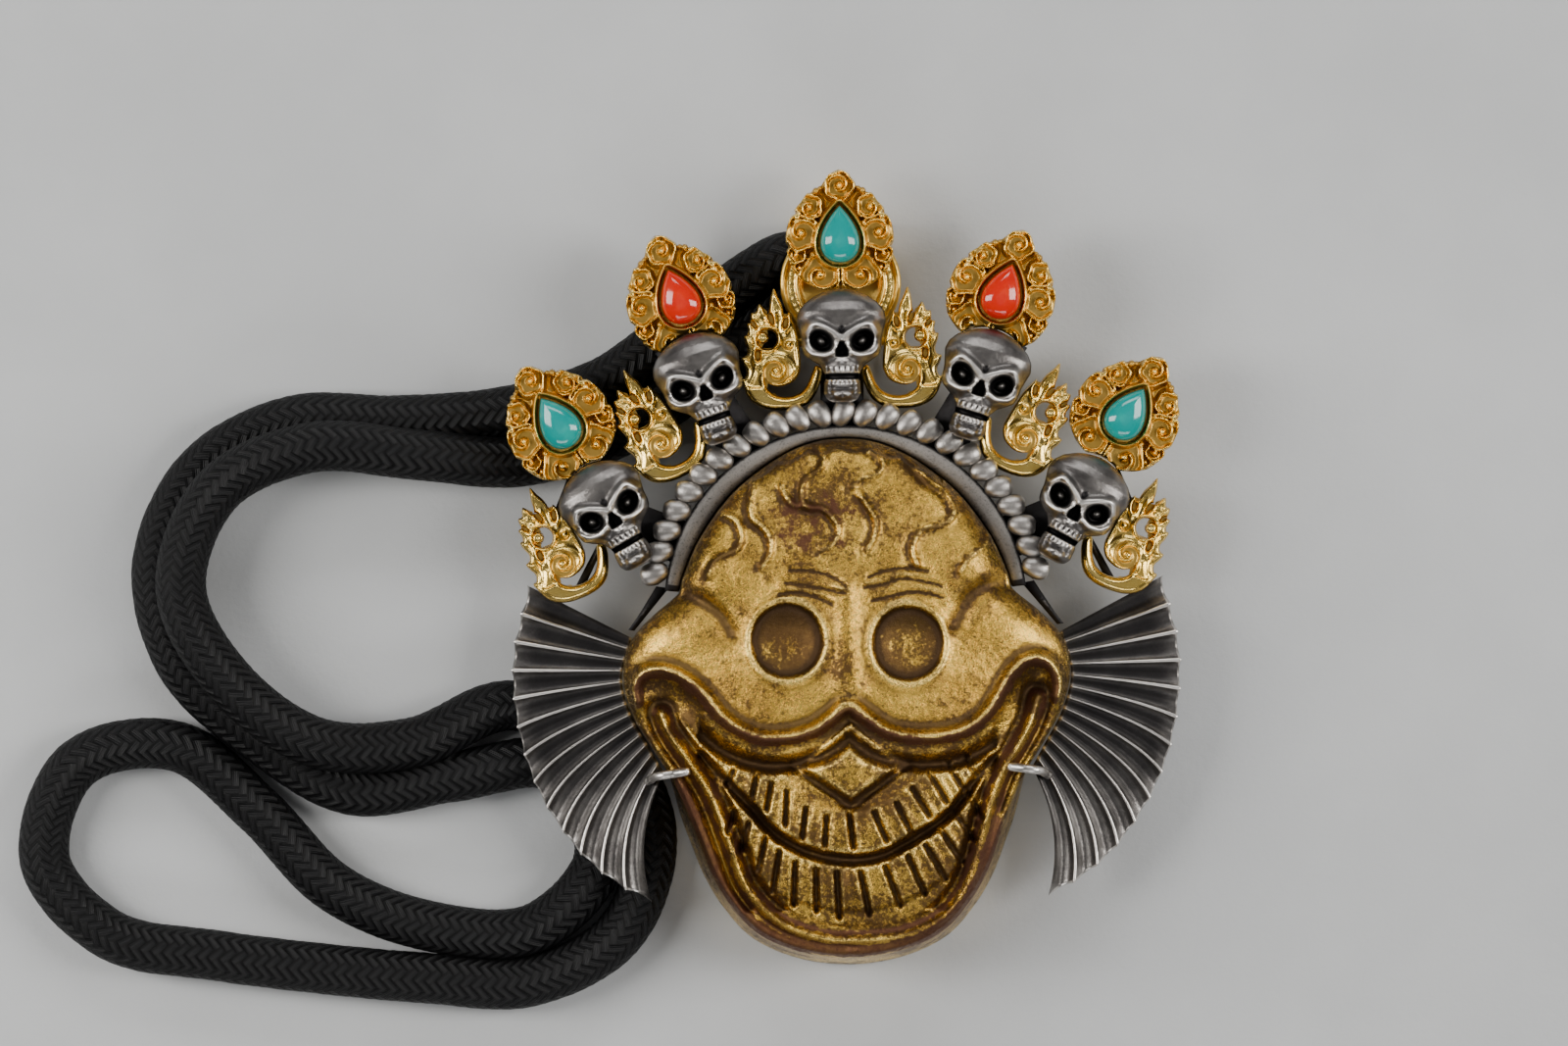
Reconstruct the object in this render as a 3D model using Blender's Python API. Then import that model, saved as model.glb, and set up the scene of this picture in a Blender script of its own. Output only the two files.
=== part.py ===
# Gilt citipati mask in an oxidised silver pendant mount, lying on its back, with its braided cord.
# The crown points along +Y, the face looks up along +Z, and everything rests on z = 0.
import math

import bmesh
import bpy
import numpy as np
from mathutils import Matrix, Vector

MM = 0.001

# Fits and common levels, in millimetres
gap = 0.3
crown_base = 7.9
tab_thickness = 1.2

# Mask, in millimetres: the outline's right half runs from the top of the dome to the chin
mask_half_width = 21.75
mask_outline = [
    (0.0, 12.7), (5.0, 11.6), (10.4, 7.9), (14.0, 3.3), (15.8, -0.7), (16.2, -2.1),
    (18.9, -4.4), (21.1, -7.0), (mask_half_width, -10.3), (20.9, -13.8), (19.1, -17.0), (17.0, -20.4),
    (15.2, -24.6), (13.6, -29.0), (11.8, -32.2), (9.1, -35.2), (5.0, -37.1), (0.0, -37.8),
]
mask_centre = (0.0, -13.0)
mask_swell_middle = -9.0
mask_swell_reach = 30.0
mask_wall_height = 8.9
mask_edge_round = 3.0
mask_edge_rise = 2.5
mask_bulge = 3.4
mask_shell = 1.4
jaw_flare = 1.1
jaw_flare_top = -17.0
jaw_flare_run = 8.0
eye_places = [(-5.75, -6.8), (6.1, -7.25)]
eye_radius = 3.45
eye_depth = 1.1
eye_rim_rise = 0.25
temple_place = (12.4, 0.4)
temple_rise = 0.9
temple_size = (2.2, 3.4)
nose_bridge_rise = 0.6
lip_curve = [
    (0.0, -13.4), (2.0, -15.6), (4.6, -16.9), (8.6, -17.0), (12.6, -14.6), (15.2, -11.2), (17.8, -9.0),
    (20.3, -10.4),
]
lip_rise = 1.1
lip_width = 0.85
jaw_rim_width = 0.9
jaw_rim_curve = [
    (18.3, -13.6), (16.9, -17.6), (14.6, -22.4), (12.6, -27.8), (10.8, -31.4), (7.7, -34.5), (4.0, -36.1),
    (0.0, -36.6),
]
jaw_rim_rise = 1.0
mouth_line = [(16.8, -15.0), (14.5, -18.7), (9.9, -24.0), (5.0, -26.9), (0.0, -27.7)]
mouth_drop = 1.5
teeth_rise = 1.0
teeth_reach = 5.2
nose_tip = (0.0, -22.3)
nose_half_width = 4.7
nose_top = -18.6
nose_rise = 1.9
nose_blend = 2.2

# Silver mount, in millimetres
arch_centre = (0.0, -3.67)
bezel_inner = 16.8
bezel_wall = 0.85
bezel_lip = 1.3
bezel_start_angle = 6.0
bead_start_angle = 7.5
bead_count = 25
bead_radius = 0.95
bead_waist = 0.5
tab_width = 4.2
tab_reach = 5.5
strut_width = 1.9
strut_drop = 0.4
strut_corner = (26.2, -2.1)
tail_outline = [(17.2, -1.6), (18.4, -1.4), (20.3, -4.4), (21.2, -5.6), (20.6, -5.7)]

# Crown, in millimetres and degrees: place and turn of each piece on the left side
skull_height = 11.0
skull_half_width = 4.35
skull_depth = 6.1
# Each ring of a skull: its place up the skull, its half width and its half depth, as shares of the whole
skull_profile = [
    (-1.0, 0.3, 0.4), (-0.92, 0.44, 0.62), (-0.7, 0.47, 0.68), (-0.62, 0.4, 0.5), (-0.55, 0.4, 0.48),
    (-0.48, 0.5, 0.72), (-0.33, 0.62, 0.85), (-0.16, 0.9, 0.93), (0.05, 0.95, 0.97), (0.28, 1.0, 1.0),
    (0.55, 0.93, 0.95), (0.8, 0.68, 0.72), (0.95, 0.33, 0.38),
]
skull_socket_radius = 1.3
skull_socket_place = (1.86, 0.8)
skull_socket_sink = 0.15
skull_nose = [(-0.6, -1.2), (0.6, -1.2), (0.0, 0.4)]
skull_nose_depth = 1.1
skull_places = {"mid": (-13.4, 17.7, 18.0), "outer": (-22.5, 5.5, 29.0)}
center_skull_place = (0.0, 21.7, 0.0)
finial_places = {"mid": (-15.8, 26.8, 20.0), "outer": (-27.8, 14.8, 33.0)}
center_finial_place = (0.0, 32.6, 0.0)
finial_lobes = 10
finial_edge = [(0, 6.2), (25, 5.2), (50, 4.8), (100, 5.3), (130, 5.8), (160, 5.7), (180, 5.4)]
finial_lobe_rise = 0.35
finial_plate = 1.4
finial_crest = 2.1
finial_crest_share = 0.8
stone_bezel_rise = 0.4
stone_bezel_wall = 0.45
stone_length = 5.3
stone_width = 3.7
stone_rise = 1.5
stone_taper = 0.45
stone_set_back = 0.1
scroll_places = {"inner": (-6.4, 19.3, 0.0), "mid": (-17.7, 12.4, 25.0), "outer": (-27.4, 0.9, 22.0)}
scroll_leaf = [
    (-0.3, 8.1), (0.5, 6.9), (0.9, 5.2), (1.7, 3.8), (2.2, 2.4), (2.1, 0.0), (1.5, -1.3), (0.2, -1.8),
    (-1.3, -1.3), (-2.0, -2.3), (-3.0, -1.4), (-3.4, 0.6), (-2.9, 1.2), (-3.2, 2.9), (-2.4, 3.4),
    (-2.6, 5.0), (-1.5, 5.2), (-1.6, 6.4), (-0.8, 6.0),
]
scroll_hole = [(-0.9, 4.9), (0.0, 4.3), (0.1, 5.5), (-0.5, 6.1)]
scroll_stem = [(-2.5, -1.4), (-1.5, -2.5), (0.6, -3.05), (2.7, -2.5), (3.8, -1.0), (4.0, 0.4)]
scroll_plate = 1.3
scroll_stem_radius = 0.62

# Fans, in millimetres: the left fan's edges from its top to its tip
fan_inner_edge = [(-21.3, -6.3), (-22.3, -10.3), (-21.5, -13.9), (-19.9, -17.1), (-18.4, -19.6)]
fan_outer_edge = [
    (-31.0, -1.1), (-32.6, -8.0), (-32.2, -15.0), (-30.2, -21.4), (-26.6, -27.0), (-22.8, -30.4),
    (-19.3, -32.2),
]
fan_flutes = 13
fan_thickness = 0.8
fan_level = 6.5
fan_flute_depth = 0.55
fan_bow = 1.3
prong_radius = 0.33
prong_tip = (-15.4, -19.3)
prong_reach = 1.4
prong_foot = (-19.6, -20.4)
prong_post = -18.95
prong_arch = 0.5

# Bail, in millimetres
bail_centre = (0.0, 27.8)
bail_radius = 5.9
bail_wall = 0.8
bail_face_thickness = 0.9
bail_face_steps = [(0.0, 0.0), (0.5, 0.0), (0.9, 0.35), (2.1, 0.25), (2.5, 0.0)]
bail_sleeve_reach = 4.6
bail_sleeve_ease = 0.1

# Cord, in millimetres: the two strands run side by side or one leaning on the other
cord_diameter = 5.0
cord_contact = 5.06
cord_mouth_height = 3.5
# Each row is x, y and how far apart the middles of the two strands lie as seen from above
cord_pair_route = [
    (-2.6, 27.8, 5.06), (-5.6, 27.8, 5.06), (-10.2, 25.4, 5.06), (-16.6, 19.8, 5.06), (-24.4, 15.4, 5.06),
    (-33.0, 13.4, 5.0), (-43.5, 13.6, 3.2), (-54.0, 13.9, 2.8), (-61.2, 10.4, 2.8), (-65.2, 4.2, 2.8),
    (-66.0, -3.0, 2.8), (-62.8, -9.2, 2.8), (-57.6, -13.8, 2.8), (-52.6, -17.4, 3.0), (-47.4, -19.4, 3.6),
    (-42.4, -18.8, 4.6), (-37.8, -16.6, 5.06), (-32.9, -15.4, 5.06), (-27.3, -16.9, 5.06), (-23.2, -21.0, 5.06),
    (-21.8, -26.6, 5.06), (-23.4, -32.2, 5.06), (-27.5, -36.2, 5.06), (-33.4, -37.6, 5.06), (-40.6, -37.0, 5.06),
]
cord_end_loop = [
    (-47.0, -33.0, 2.5), (-52.2, -28.9, 2.5), (-57.2, -23.4, 2.5), (-62.6, -18.2, 2.5), (-69.0, -15.6, 2.5),
    (-76.1, -18.5, 2.5), (-79.0, -25.6, 2.5), (-76.1, -32.7, 2.5), (-69.0, -35.8, 2.5), (-60.0, -37.2, 2.5),
    (-50.0, -38.6, 2.5),
]

parts_name = "citipati_mask"
cutters_name = "cutters"


def clear_scene():
    for obj in list(bpy.data.objects):
        bpy.data.objects.remove(obj, do_unlink=True)


def make_collection(name, hidden=False):
    collection = bpy.data.collections.new(name)
    bpy.context.scene.collection.children.link(collection)
    collection.hide_render = hidden
    return collection


def make_material(name, colour, roughness, metallic):
    material = bpy.data.materials.new(name)
    material.use_nodes = True
    shader = material.node_tree.nodes["Principled BSDF"]
    shader.inputs["Base Color"].default_value = (*colour, 1.0)
    shader.inputs["Roughness"].default_value = roughness
    shader.inputs["Metallic"].default_value = metallic
    return material


def new_object(name, data, collection, material=None):
    obj = bpy.data.objects.new(name, data)
    collection.objects.link(obj)
    if material is not None:
        obj.data.materials.clear()
        obj.data.materials.append(material)
    return obj


def finish_mesh(name, bm, collection, material=None):
    bmesh.ops.remove_doubles(bm, verts=bm.verts, dist=1e-7)
    bmesh.ops.recalc_face_normals(bm, faces=bm.faces)
    mesh = bpy.data.meshes.new(name)
    bm.to_mesh(mesh)
    bm.free()
    obj = new_object(name, mesh, collection, material)
    mesh.shade_smooth()
    mesh.set_sharp_from_angle(angle=math.radians(40))
    return obj


def smooth_line(points, step, closed=False):
    """Points every step along a Catmull-Rom curve through the given points."""
    p = np.array(points, float)
    n = len(p)
    ends = (p[-1], p[0], p[1]) if closed else (2 * p[0] - p[1], 2 * p[-1] - p[-2], None)
    padded = [ends[0], *p, ends[1]] if not closed else [ends[0], *p, ends[1], ends[2]]
    fine = []
    for i in range(n if closed else n - 1):
        a, b, c, d = padded[i:i + 4]
        for t in np.linspace(0, 1, 12, endpoint=False):
            fine.append(0.5 * (2 * b + (c - a) * t + (2 * a - 5 * b + 4 * c - d) * t**2
                               + (3 * b - a - 3 * c + d) * t**3))
    fine.append(p[0] if closed else p[-1])
    fine = np.array(fine)
    run = np.concatenate([[0], np.cumsum(np.linalg.norm(np.diff(fine, axis=0), axis=1))])
    count = max(3, round(run[-1] / step) + 1)
    at = np.linspace(0, run[-1], count)
    line = np.stack([np.interp(at, run, fine[:, k]) for k in range(p.shape[1])], axis=1)
    return line[:-1] if closed else line


def mirrored(half):
    """A left-to-right line from its right half, which starts or ends on the middle line."""
    half = np.array(half)
    if abs(half[0][0]) > 1e-9:
        half = half[::-1]
    left = half[:0:-1] * [-1, 1]
    return np.concatenate([left, half])


def line_distance(x, y, line):
    best = np.full(np.shape(x), 1e9)
    for (ax, ay), (bx, by) in zip(line[:-1], line[1:]):
        dx, dy = bx - ax, by - ay
        t = np.clip(((x - ax) * dx + (y - ay) * dy) / (dx * dx + dy * dy), 0, 1)
        best = np.minimum(best, np.hypot(x - ax - t * dx, y - ay - t * dy))
    return best


def inside(x, y, outline):
    hit = np.zeros(np.shape(x), bool)
    for (ax, ay), (bx, by) in zip(outline, np.roll(outline, -1, axis=0)):
        if ay == by:
            continue
        crosses = (ay > y) != (by > y)
        hit ^= crosses & (x < (bx - ax) * (y - ay) / (by - ay) + ax)
    return hit


def ease(value):
    t = np.clip(value, 0, 1)
    return t * t * (3 - 2 * t)


def ring_loft(name, rings, collection, material=None, bottom=None, top=None):
    """A closed skin over rings of equally many points, with each end closed to a middle point."""
    bm = bmesh.new()
    loops = [[bm.verts.new(Vector(p) * MM) for p in ring] for ring in rings]
    for lower, upper in zip(loops[:-1], loops[1:]):
        for k in range(len(lower)):
            j = (k + 1) % len(lower)
            bm.faces.new((lower[k], lower[j], upper[j], upper[k]))
    for loop, middle in ((loops[0], bottom), (loops[-1], top)):
        place = Vector(middle) if middle is not None else sum((v.co for v in loop), Vector()) / len(loop) / MM
        centre = bm.verts.new(place * MM)
        for k in range(len(loop)):
            bm.faces.new((centre, loop[k], loop[(k + 1) % len(loop)]))
    return finish_mesh(name, bm, collection, material)


def prism(name, outline, low, high, collection, material=None):
    bm = bmesh.new()
    base = bm.faces.new([bm.verts.new(Vector((x, y, low)) * MM) for x, y in outline])
    lifted = bmesh.ops.extrude_face_region(bm, geom=[base])
    moved = [e for e in lifted["geom"] if isinstance(e, bmesh.types.BMVert)]
    bmesh.ops.translate(bm, verts=moved, vec=(0, 0, (high - low) * MM))
    return finish_mesh(name, bm, collection, material)


def tube(name, points, radius, resolution, collection, material=None, radii=None):
    curve = bpy.data.curves.new(name, "CURVE")
    curve.dimensions = "3D"
    curve.bevel_depth = radius * MM
    curve.bevel_resolution = resolution
    curve.use_fill_caps = True
    spline = curve.splines.new("POLY")
    spline.points.add(len(points) - 1)
    for k, (x, y, z) in enumerate(points):
        spline.points[k].co = (x * MM, y * MM, z * MM, 1)
        spline.points[k].radius = 1.0 if radii is None else radii[k]
    return new_object(name, curve, collection, material)


def tube_mesh(name, points, radius, resolution, collection, material=None):
    """A tube as a welded mesh, ready to be joined to another piece."""
    source = tube(name + "_line", points, radius, resolution, collection)
    bpy.context.view_layer.update()
    mesh = bpy.data.meshes.new_from_object(source.evaluated_get(bpy.context.evaluated_depsgraph_get()))
    bpy.data.objects.remove(source, do_unlink=True)
    bm = bmesh.new()
    bm.from_mesh(mesh)
    bpy.data.meshes.remove(mesh)
    return finish_mesh(name, bm, collection, material)


def add_boolean(obj, operation, other):
    modifier = obj.modifiers.new(operation.lower(), "BOOLEAN")
    modifier.operation = operation
    modifier.object = other
    modifier.solver = "EXACT"
    other.hide_render = True
    other.display_type = "WIRE"


def place(obj, x, y, z, turn):
    obj.location = (x * MM, y * MM, z * MM)
    obj.rotation_euler = (0, 0, math.radians(turn))


def box(name, low, high, collection):
    bm = bmesh.new()
    bmesh.ops.create_cube(bm, size=1)
    size = [(b - a) * MM for a, b in zip(low, high)]
    middle = [(a + b) / 2 * MM for a, b in zip(low, high)]
    bmesh.ops.transform(bm, verts=bm.verts, matrix=Matrix.Translation(middle) @ Matrix.Diagonal((*size, 1)))
    return finish_mesh(name, bm, collection)


class MaskForm:
    """Height of the mask's front over the floor, in millimetres."""

    def __init__(self):
        self.outline = smooth_line(mirrored(mask_outline)[:-1], 1.0, closed=True)
        self.lip = smooth_line(mirrored(lip_curve), 0.8)
        self.rim = smooth_line(mirrored(jaw_rim_curve), 0.8)
        self.bite = smooth_line(mirrored(mouth_line), 0.8)
        self.mouth = np.concatenate([self.lip, self.rim[::-1]])

    def ground(self, x, y):
        """The smooth swell under the carving."""
        across = (x / mask_half_width) ** 2
        along = ((y - mask_swell_middle) / mask_swell_reach) ** 2
        return mask_wall_height + mask_bulge * np.clip(1 - across - along, 0, 1)

    def height(self, x, y):
        to_edge = line_distance(x, y, np.vstack([self.outline, self.outline[:1]]))
        edge = np.clip(to_edge / mask_edge_round, 0, 1)
        z = self.ground(x, y) + mask_edge_rise * np.sqrt(1 - (1 - edge) ** 2)
        tx, ty = temple_place
        wide, high = temple_size
        z = z + temple_rise * np.exp(-(((np.abs(x) - tx) / wide) ** 2) - ((y - ty) / high) ** 2)
        z = z + nose_bridge_rise * np.exp(-((x / 1.5) ** 2)) * ease((y + 14.5) / 3) * ease((1 - y) / 3)
        for ex, ey in eye_places:
            r = np.hypot(x - ex, y - ey)
            z = z - eye_depth * ease((eye_radius + 0.2 - r) / 0.6)
            z = z + eye_rim_rise * np.exp(-(((r - eye_radius - 0.4) / 0.45) ** 2))
        to_lip = line_distance(x, y, self.lip)
        to_rim = line_distance(x, y, self.rim)
        to_bite = line_distance(x, y, self.bite)
        in_mouth = inside(x, y, self.mouth)
        z = z - in_mouth * mouth_drop * ease(np.minimum(to_lip, to_rim) / 1.3)
        teeth = ease((to_bite - 0.2) / 0.7) * ease((teeth_reach - to_bite) / 1.0) * ease((to_lip - 1.2) / 0.8)
        z = z + in_mouth * teeth_rise * teeth * ease((to_rim - 1.0) / 0.8)
        z = z + lip_rise * np.exp(-((to_lip / lip_width) ** 2))
        z = z + jaw_rim_rise * np.exp(-((to_rim / jaw_rim_width) ** 2))
        slope = nose_half_width / (nose_top - nose_tip[1])
        across = 1 - np.abs(x) / np.maximum((y - nose_tip[1]) * slope, 1e-6)
        rise = np.where(y > nose_tip[1], np.clip(across, 0, 1), 0)
        rise = rise * ease((nose_top + nose_blend - y) / nose_blend)
        return z + nose_rise * rise ** 0.7


def make_mask(form, collection, material):
    angles = 60
    edge = smooth_line(mirrored(mask_outline)[:-1], 1.0, closed=True)
    edge = edge[np.round(np.linspace(0, len(edge), angles, endpoint=False)).astype(int)]
    centre = np.array(mask_centre)
    inward = (edge - centre) / np.linalg.norm(edge - centre, axis=1)[:, None]
    flare = jaw_flare * ease((jaw_flare_top - edge[:, 1]) / jaw_flare_run)[:, None]
    foot = edge + inward * flare
    shares = [0.09, 0.18, 0.27, 0.36, 0.44, 0.52, 0.6, 0.67, 0.74, 0.805, 0.865, 0.915, 0.955, 0.985]
    front = []
    for share in shares:
        xy = centre + (edge - centre) * share
        front.append(np.column_stack([xy, form.height(xy[:, 0], xy[:, 1])]))
    brow = np.column_stack([edge, np.full(angles, mask_wall_height)])
    rim = np.column_stack([foot, np.zeros(angles)])
    inner_foot = np.column_stack([foot - inward * mask_shell, np.zeros(angles)])
    inner_top = np.full(angles, mask_wall_height - mask_shell)
    inner_wall = np.column_stack([edge - inward * (mask_shell + 0.5), inner_top])
    hollow = []
    ceiling = mask_edge_rise - mouth_drop - mask_shell
    for share in (0.75, 0.4):
        xy = centre + (edge - centre) * share
        hollow.append(np.column_stack([xy, form.ground(xy[:, 0], xy[:, 1]) + ceiling]))
    rings = [ring[:, :3] for ring in front] + [brow, rim, inner_foot, inner_wall] + hollow
    top = (*mask_centre, float(form.height(np.array([centre[0]]), np.array([centre[1]]))[0]))
    under = (*mask_centre, float(form.ground(centre[0], centre[1])) + ceiling)
    return ring_loft("mask", rings, collection, material, bottom=top, top=under)


def arch_point(radius, angle, z):
    a = math.radians(angle)
    return (arch_centre[0] + radius * math.cos(a), arch_centre[1] + radius * math.sin(a), z)


def bar(name, start, end, width, collection):
    """A flat bar of the mount between two places, at the level of the tabs."""
    a, b = Vector(start), Vector(end)
    side = (b - a).normalized().orthogonal() * width / 2
    top = crown_base - gap
    return prism(name, [a + side, a - side, b - side, b + side], top - tab_thickness, top, collection)


def make_mount(parts, cutters, material):
    """The plain bezel round the dome, with the flat tabs and struts that carry the crown and the fans."""
    steps = 28
    rings = []
    sweep = 180 - 2 * bezel_start_angle
    outer = bezel_inner + bezel_wall
    lip = crown_base + bezel_lip
    for k in range(steps + 1):
        angle = bezel_start_angle + sweep * k / steps
        section = [(bezel_inner, 0), (outer, 0), (outer, lip), (bezel_inner, lip)]
        rings.append([arch_point(radius, angle, z) for radius, z in section])
    mount = ring_loft("mount_frame", rings, parts, material)
    top = crown_base - gap
    root = outer - 0.3
    places = [center_skull_place]
    for x, y, turn in skull_places.values():
        places += [(x, y, turn), (-x, y, -turn)]
    for index, (x, y, _) in enumerate(places):
        away = Vector((x - arch_centre[0], y - arch_centre[1])).normalized()
        start = Vector(arch_centre) + away * root
        end = Vector((x, y)) + away * tab_reach
        if index == 0:
            end = Vector((0, bail_centre[1] - bail_radius - gap - bail_wall))
        add_boolean(mount, "UNION", bar(f"tab_{index}", start, end, tab_width, cutters))
    for side in (-1, 1):
        x, y, _ = skull_places["outer"]
        start = Vector((side * abs(x), y + strut_drop))
        corner = Vector((side * strut_corner[0], strut_corner[1]))
        add_boolean(mount, "UNION", bar(f"strut_{side}", start, corner, strut_width, cutters))
        outline = [(side * a, b) for a, b in tail_outline]
        add_boolean(mount, "UNION", prism(f"tail_{side}", outline, top - tab_thickness, top, cutters))
    return mount


def make_beaded_border(parts, material):
    """A wire that swells into a bead at each step round the bezel."""
    radius = bezel_inner + bezel_wall + gap + bead_radius
    points = []
    sizes = []
    start = bead_start_angle
    step = (180 - 2 * start) / bead_count
    for k in range(bead_count):
        for share, size in ((0.0, bead_waist), (0.3, 1.0), (0.7, 1.0)):
            points.append(arch_point(radius, start + step * (k + share), crown_base + bead_radius))
            sizes.append(size)
    points.append(arch_point(radius, 180 - start, crown_base + bead_radius))
    sizes.append(bead_waist)
    return tube("beaded_border", points, bead_radius, 1, parts, material, sizes)


def make_skull(name, where, parts, cutters, material):
    """A skull as stacked oval rings, with sockets, nose and mouth cut into its front."""
    x, y, turn = where
    half = skull_height / 2
    wide = skull_half_width
    deep = skull_depth / 2
    sides = 10
    rings = []
    for v, a, d in skull_profile:
        ring = []
        for k in range(sides):
            t = 2 * math.pi * k / sides
            ring.append((wide * a * math.cos(t), half * v, deep + deep * d * math.sin(t)))
        rings.append(ring)
    skull = ring_loft(name, rings, parts, material, top=(0, half, deep))
    place(skull, x, y, crown_base, turn)
    for side in (-1, 1):
        bm = bmesh.new()
        bmesh.ops.create_uvsphere(bm, u_segments=8, v_segments=4, radius=skull_socket_radius * MM)
        socket = finish_mesh(f"{name}_socket_{side}", bm, cutters)
        socket.parent = skull
        across, up = skull_socket_place
        socket.location = (side * across * MM, up * MM, (skull_depth - skull_socket_sink) * MM)
        add_boolean(skull, "DIFFERENCE", socket)
    nose = prism(f"{name}_nose", skull_nose, skull_depth - skull_nose_depth, skull_depth + 1, cutters)
    nose.parent = skull
    add_boolean(skull, "DIFFERENCE", nose)
    return skull


def finial_radius(angle):
    """Distance from the middle of a finial to its edge; angle 0 is its tip."""
    a = abs((angle + 180) % 360 - 180)
    base = float(np.interp(a, *zip(*finial_edge)))
    return base + finial_lobe_rise * (abs(math.cos(math.radians(angle) * finial_lobes / 2)) - 0.57)


def stone_point(angle, grow=0.0):
    """A drop outline: round below and pointed at the tip."""
    t = math.radians(angle)
    across = (stone_width / 2 + grow) * math.sin(t) * (1.12 - stone_taper * math.cos(t / 2) ** 2)
    along = (stone_length / 2 + grow) * math.cos(t)
    return across, along - stone_set_back


def make_finial(name, where, skull_where, parts, cutters, material):
    x, y, turn = where
    count = finial_lobes * 3
    angles = [360 * k / count for k in range(count)]

    def outline(scale, z):
        ring = []
        for a in angles:
            t = math.radians(a)
            r = finial_radius(a) * scale
            ring.append((r * math.sin(t), r * math.cos(t), z))
        return ring

    def drop(grow, z):
        return [(*stone_point(a, grow), z) for a in angles]

    seat = finial_plate
    rim = finial_crest + stone_bezel_rise
    rings = [
        outline(1.0, 0.0), outline(1.0, finial_plate), outline(finial_crest_share, finial_crest),
        drop(gap + stone_bezel_wall, rim), drop(gap, rim), drop(gap, seat),
    ]
    finial = ring_loft(name, rings, parts, material)
    place(finial, x, y, crown_base, turn)
    sx, sy, skull_turn = skull_where
    bm = bmesh.new()
    radius = (skull_half_width + gap) * MM
    length = 4 * skull_depth * MM
    bmesh.ops.create_cone(bm, cap_ends=True, segments=20, radius1=radius, radius2=radius, depth=length)
    cutter = finish_mesh(f"{name}_seat", bm, cutters)
    crown_shift = skull_height / 2 - skull_half_width
    t = math.radians(skull_turn)
    place(cutter, sx - crown_shift * math.sin(t), sy + crown_shift * math.cos(t), crown_base, skull_turn)
    add_boolean(finial, "DIFFERENCE", cutter)
    return finial


def make_stone(name, where, parts, material):
    x, y, turn = where
    angles = [360 * k / 14 for k in range(14)]
    low = finial_plate + gap
    levels = [(1.0, 0.0), (1.0, 0.45), (0.78, 0.85), (0.42, 1.0)]
    rings = []
    for scale, rise in levels:
        height = low + rise * (stone_rise + stone_bezel_rise)
        rings.append([(sx * scale, sy * scale, height) for sx, sy in map(stone_point, angles)])
    stone = ring_loft(name, rings, parts, material, top=(0, 0, low + (stone_rise + stone_bezel_rise) * 1.03))
    place(stone, x, y, crown_base, turn)
    return stone


def make_scroll(name, where, side, parts, cutters, material):
    """A flame leaf with a curled volute, carried on a hooked stem; side -1 is the left-hand form."""
    x, y, turn = where
    mirror = -side
    outline = [(mirror * a, b) for a, b in scroll_leaf]
    scroll = prism(name, outline, 0, scroll_plate, parts, material)
    path = smooth_line([(mirror * a, b, scroll_plate / 2) for a, b in scroll_stem], 2.1)
    rod = tube_mesh(f"{name}_stem", path, scroll_stem_radius, 1, cutters)
    opening = prism(f"{name}_hole", [(mirror * a, b) for a, b in scroll_hole], -1, scroll_plate + 1, cutters)
    for piece, operation in ((rod, "UNION"), (opening, "DIFFERENCE")):
        piece.parent = scroll
        add_boolean(scroll, operation, piece)
    place(scroll, x, y, crown_base, turn)
    return scroll


def fan_place(t, s):
    """A place on the left fan: t runs from its top to its tip, s from the cheek to its outer edge."""
    inner = smooth_line(fan_inner_edge, 0.2)
    outer = smooth_line(fan_outer_edge, 0.2)
    a = inner[round(t * (len(inner) - 1))]
    b = outer[round(t * (len(outer) - 1))]
    bow = fan_bow * ease(t / 0.6) * 4 * s * (1 - s)
    return a + (b - a) * s + np.array([-bow, 0.0])


def make_fan(name, side, form, parts, cutters, material):
    """A thin sheet pleated into flutes, with the wire prong that holds the jaw."""
    columns = fan_flutes * 2 + 1
    rows = 3
    bm = bmesh.new()
    skins = []
    for lift in (-fan_thickness / 2, fan_thickness / 2):
        grid = []
        for i in range(columns):
            line = []
            for j in range(rows):
                s = j / (rows - 1)
                x, y = fan_place(i / (columns - 1), s)
                pleat = fan_flute_depth * (-1) ** i * (0.35 + 0.65 * s)
                line.append(bm.verts.new(Vector((-side * x, y, fan_level + pleat + lift)) * MM))
            grid.append(line)
        skins.append(grid)
    low, high = skins
    for i in range(columns - 1):
        for j in range(rows - 1):
            for grid in skins:
                bm.faces.new((grid[i][j], grid[i + 1][j], grid[i + 1][j + 1], grid[i][j + 1]))
        for j in (0, rows - 1):
            bm.faces.new((low[i][j], low[i + 1][j], high[i + 1][j], high[i][j]))
    for i in (0, columns - 1):
        for j in range(rows - 1):
            bm.faces.new((low[i][j], low[i][j + 1], high[i][j + 1], high[i][j]))
    fan = finish_mesh(name, bm, parts, material)
    tip_x, tip_y = prong_tip
    bend_x = tip_x - prong_reach
    lift = prong_radius + gap
    rest, edge = form.height(np.array([tip_x, bend_x]), np.array([tip_y, tip_y])) + lift
    foot_x, foot_y = prong_foot
    arch = prong_arch
    path = [
        (foot_x, foot_y, fan_level + 0.2), (prong_post - 0.1, foot_y + 0.3, fan_level + 1.2),
        (prong_post, foot_y + arch, mask_wall_height + 3 * arch),
        (prong_post + 0.8, tip_y - 0.4, edge + arch), (bend_x, tip_y - 0.2, edge + 1.2 * arch),
        (tip_x, tip_y, rest + arch),
    ]
    wire = tube_mesh(f"{name}_prong", [(-side * a, b, c) for a, b, c in path], prong_radius, 1, cutters)
    add_boolean(fan, "UNION", wire)
    return fan


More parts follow.
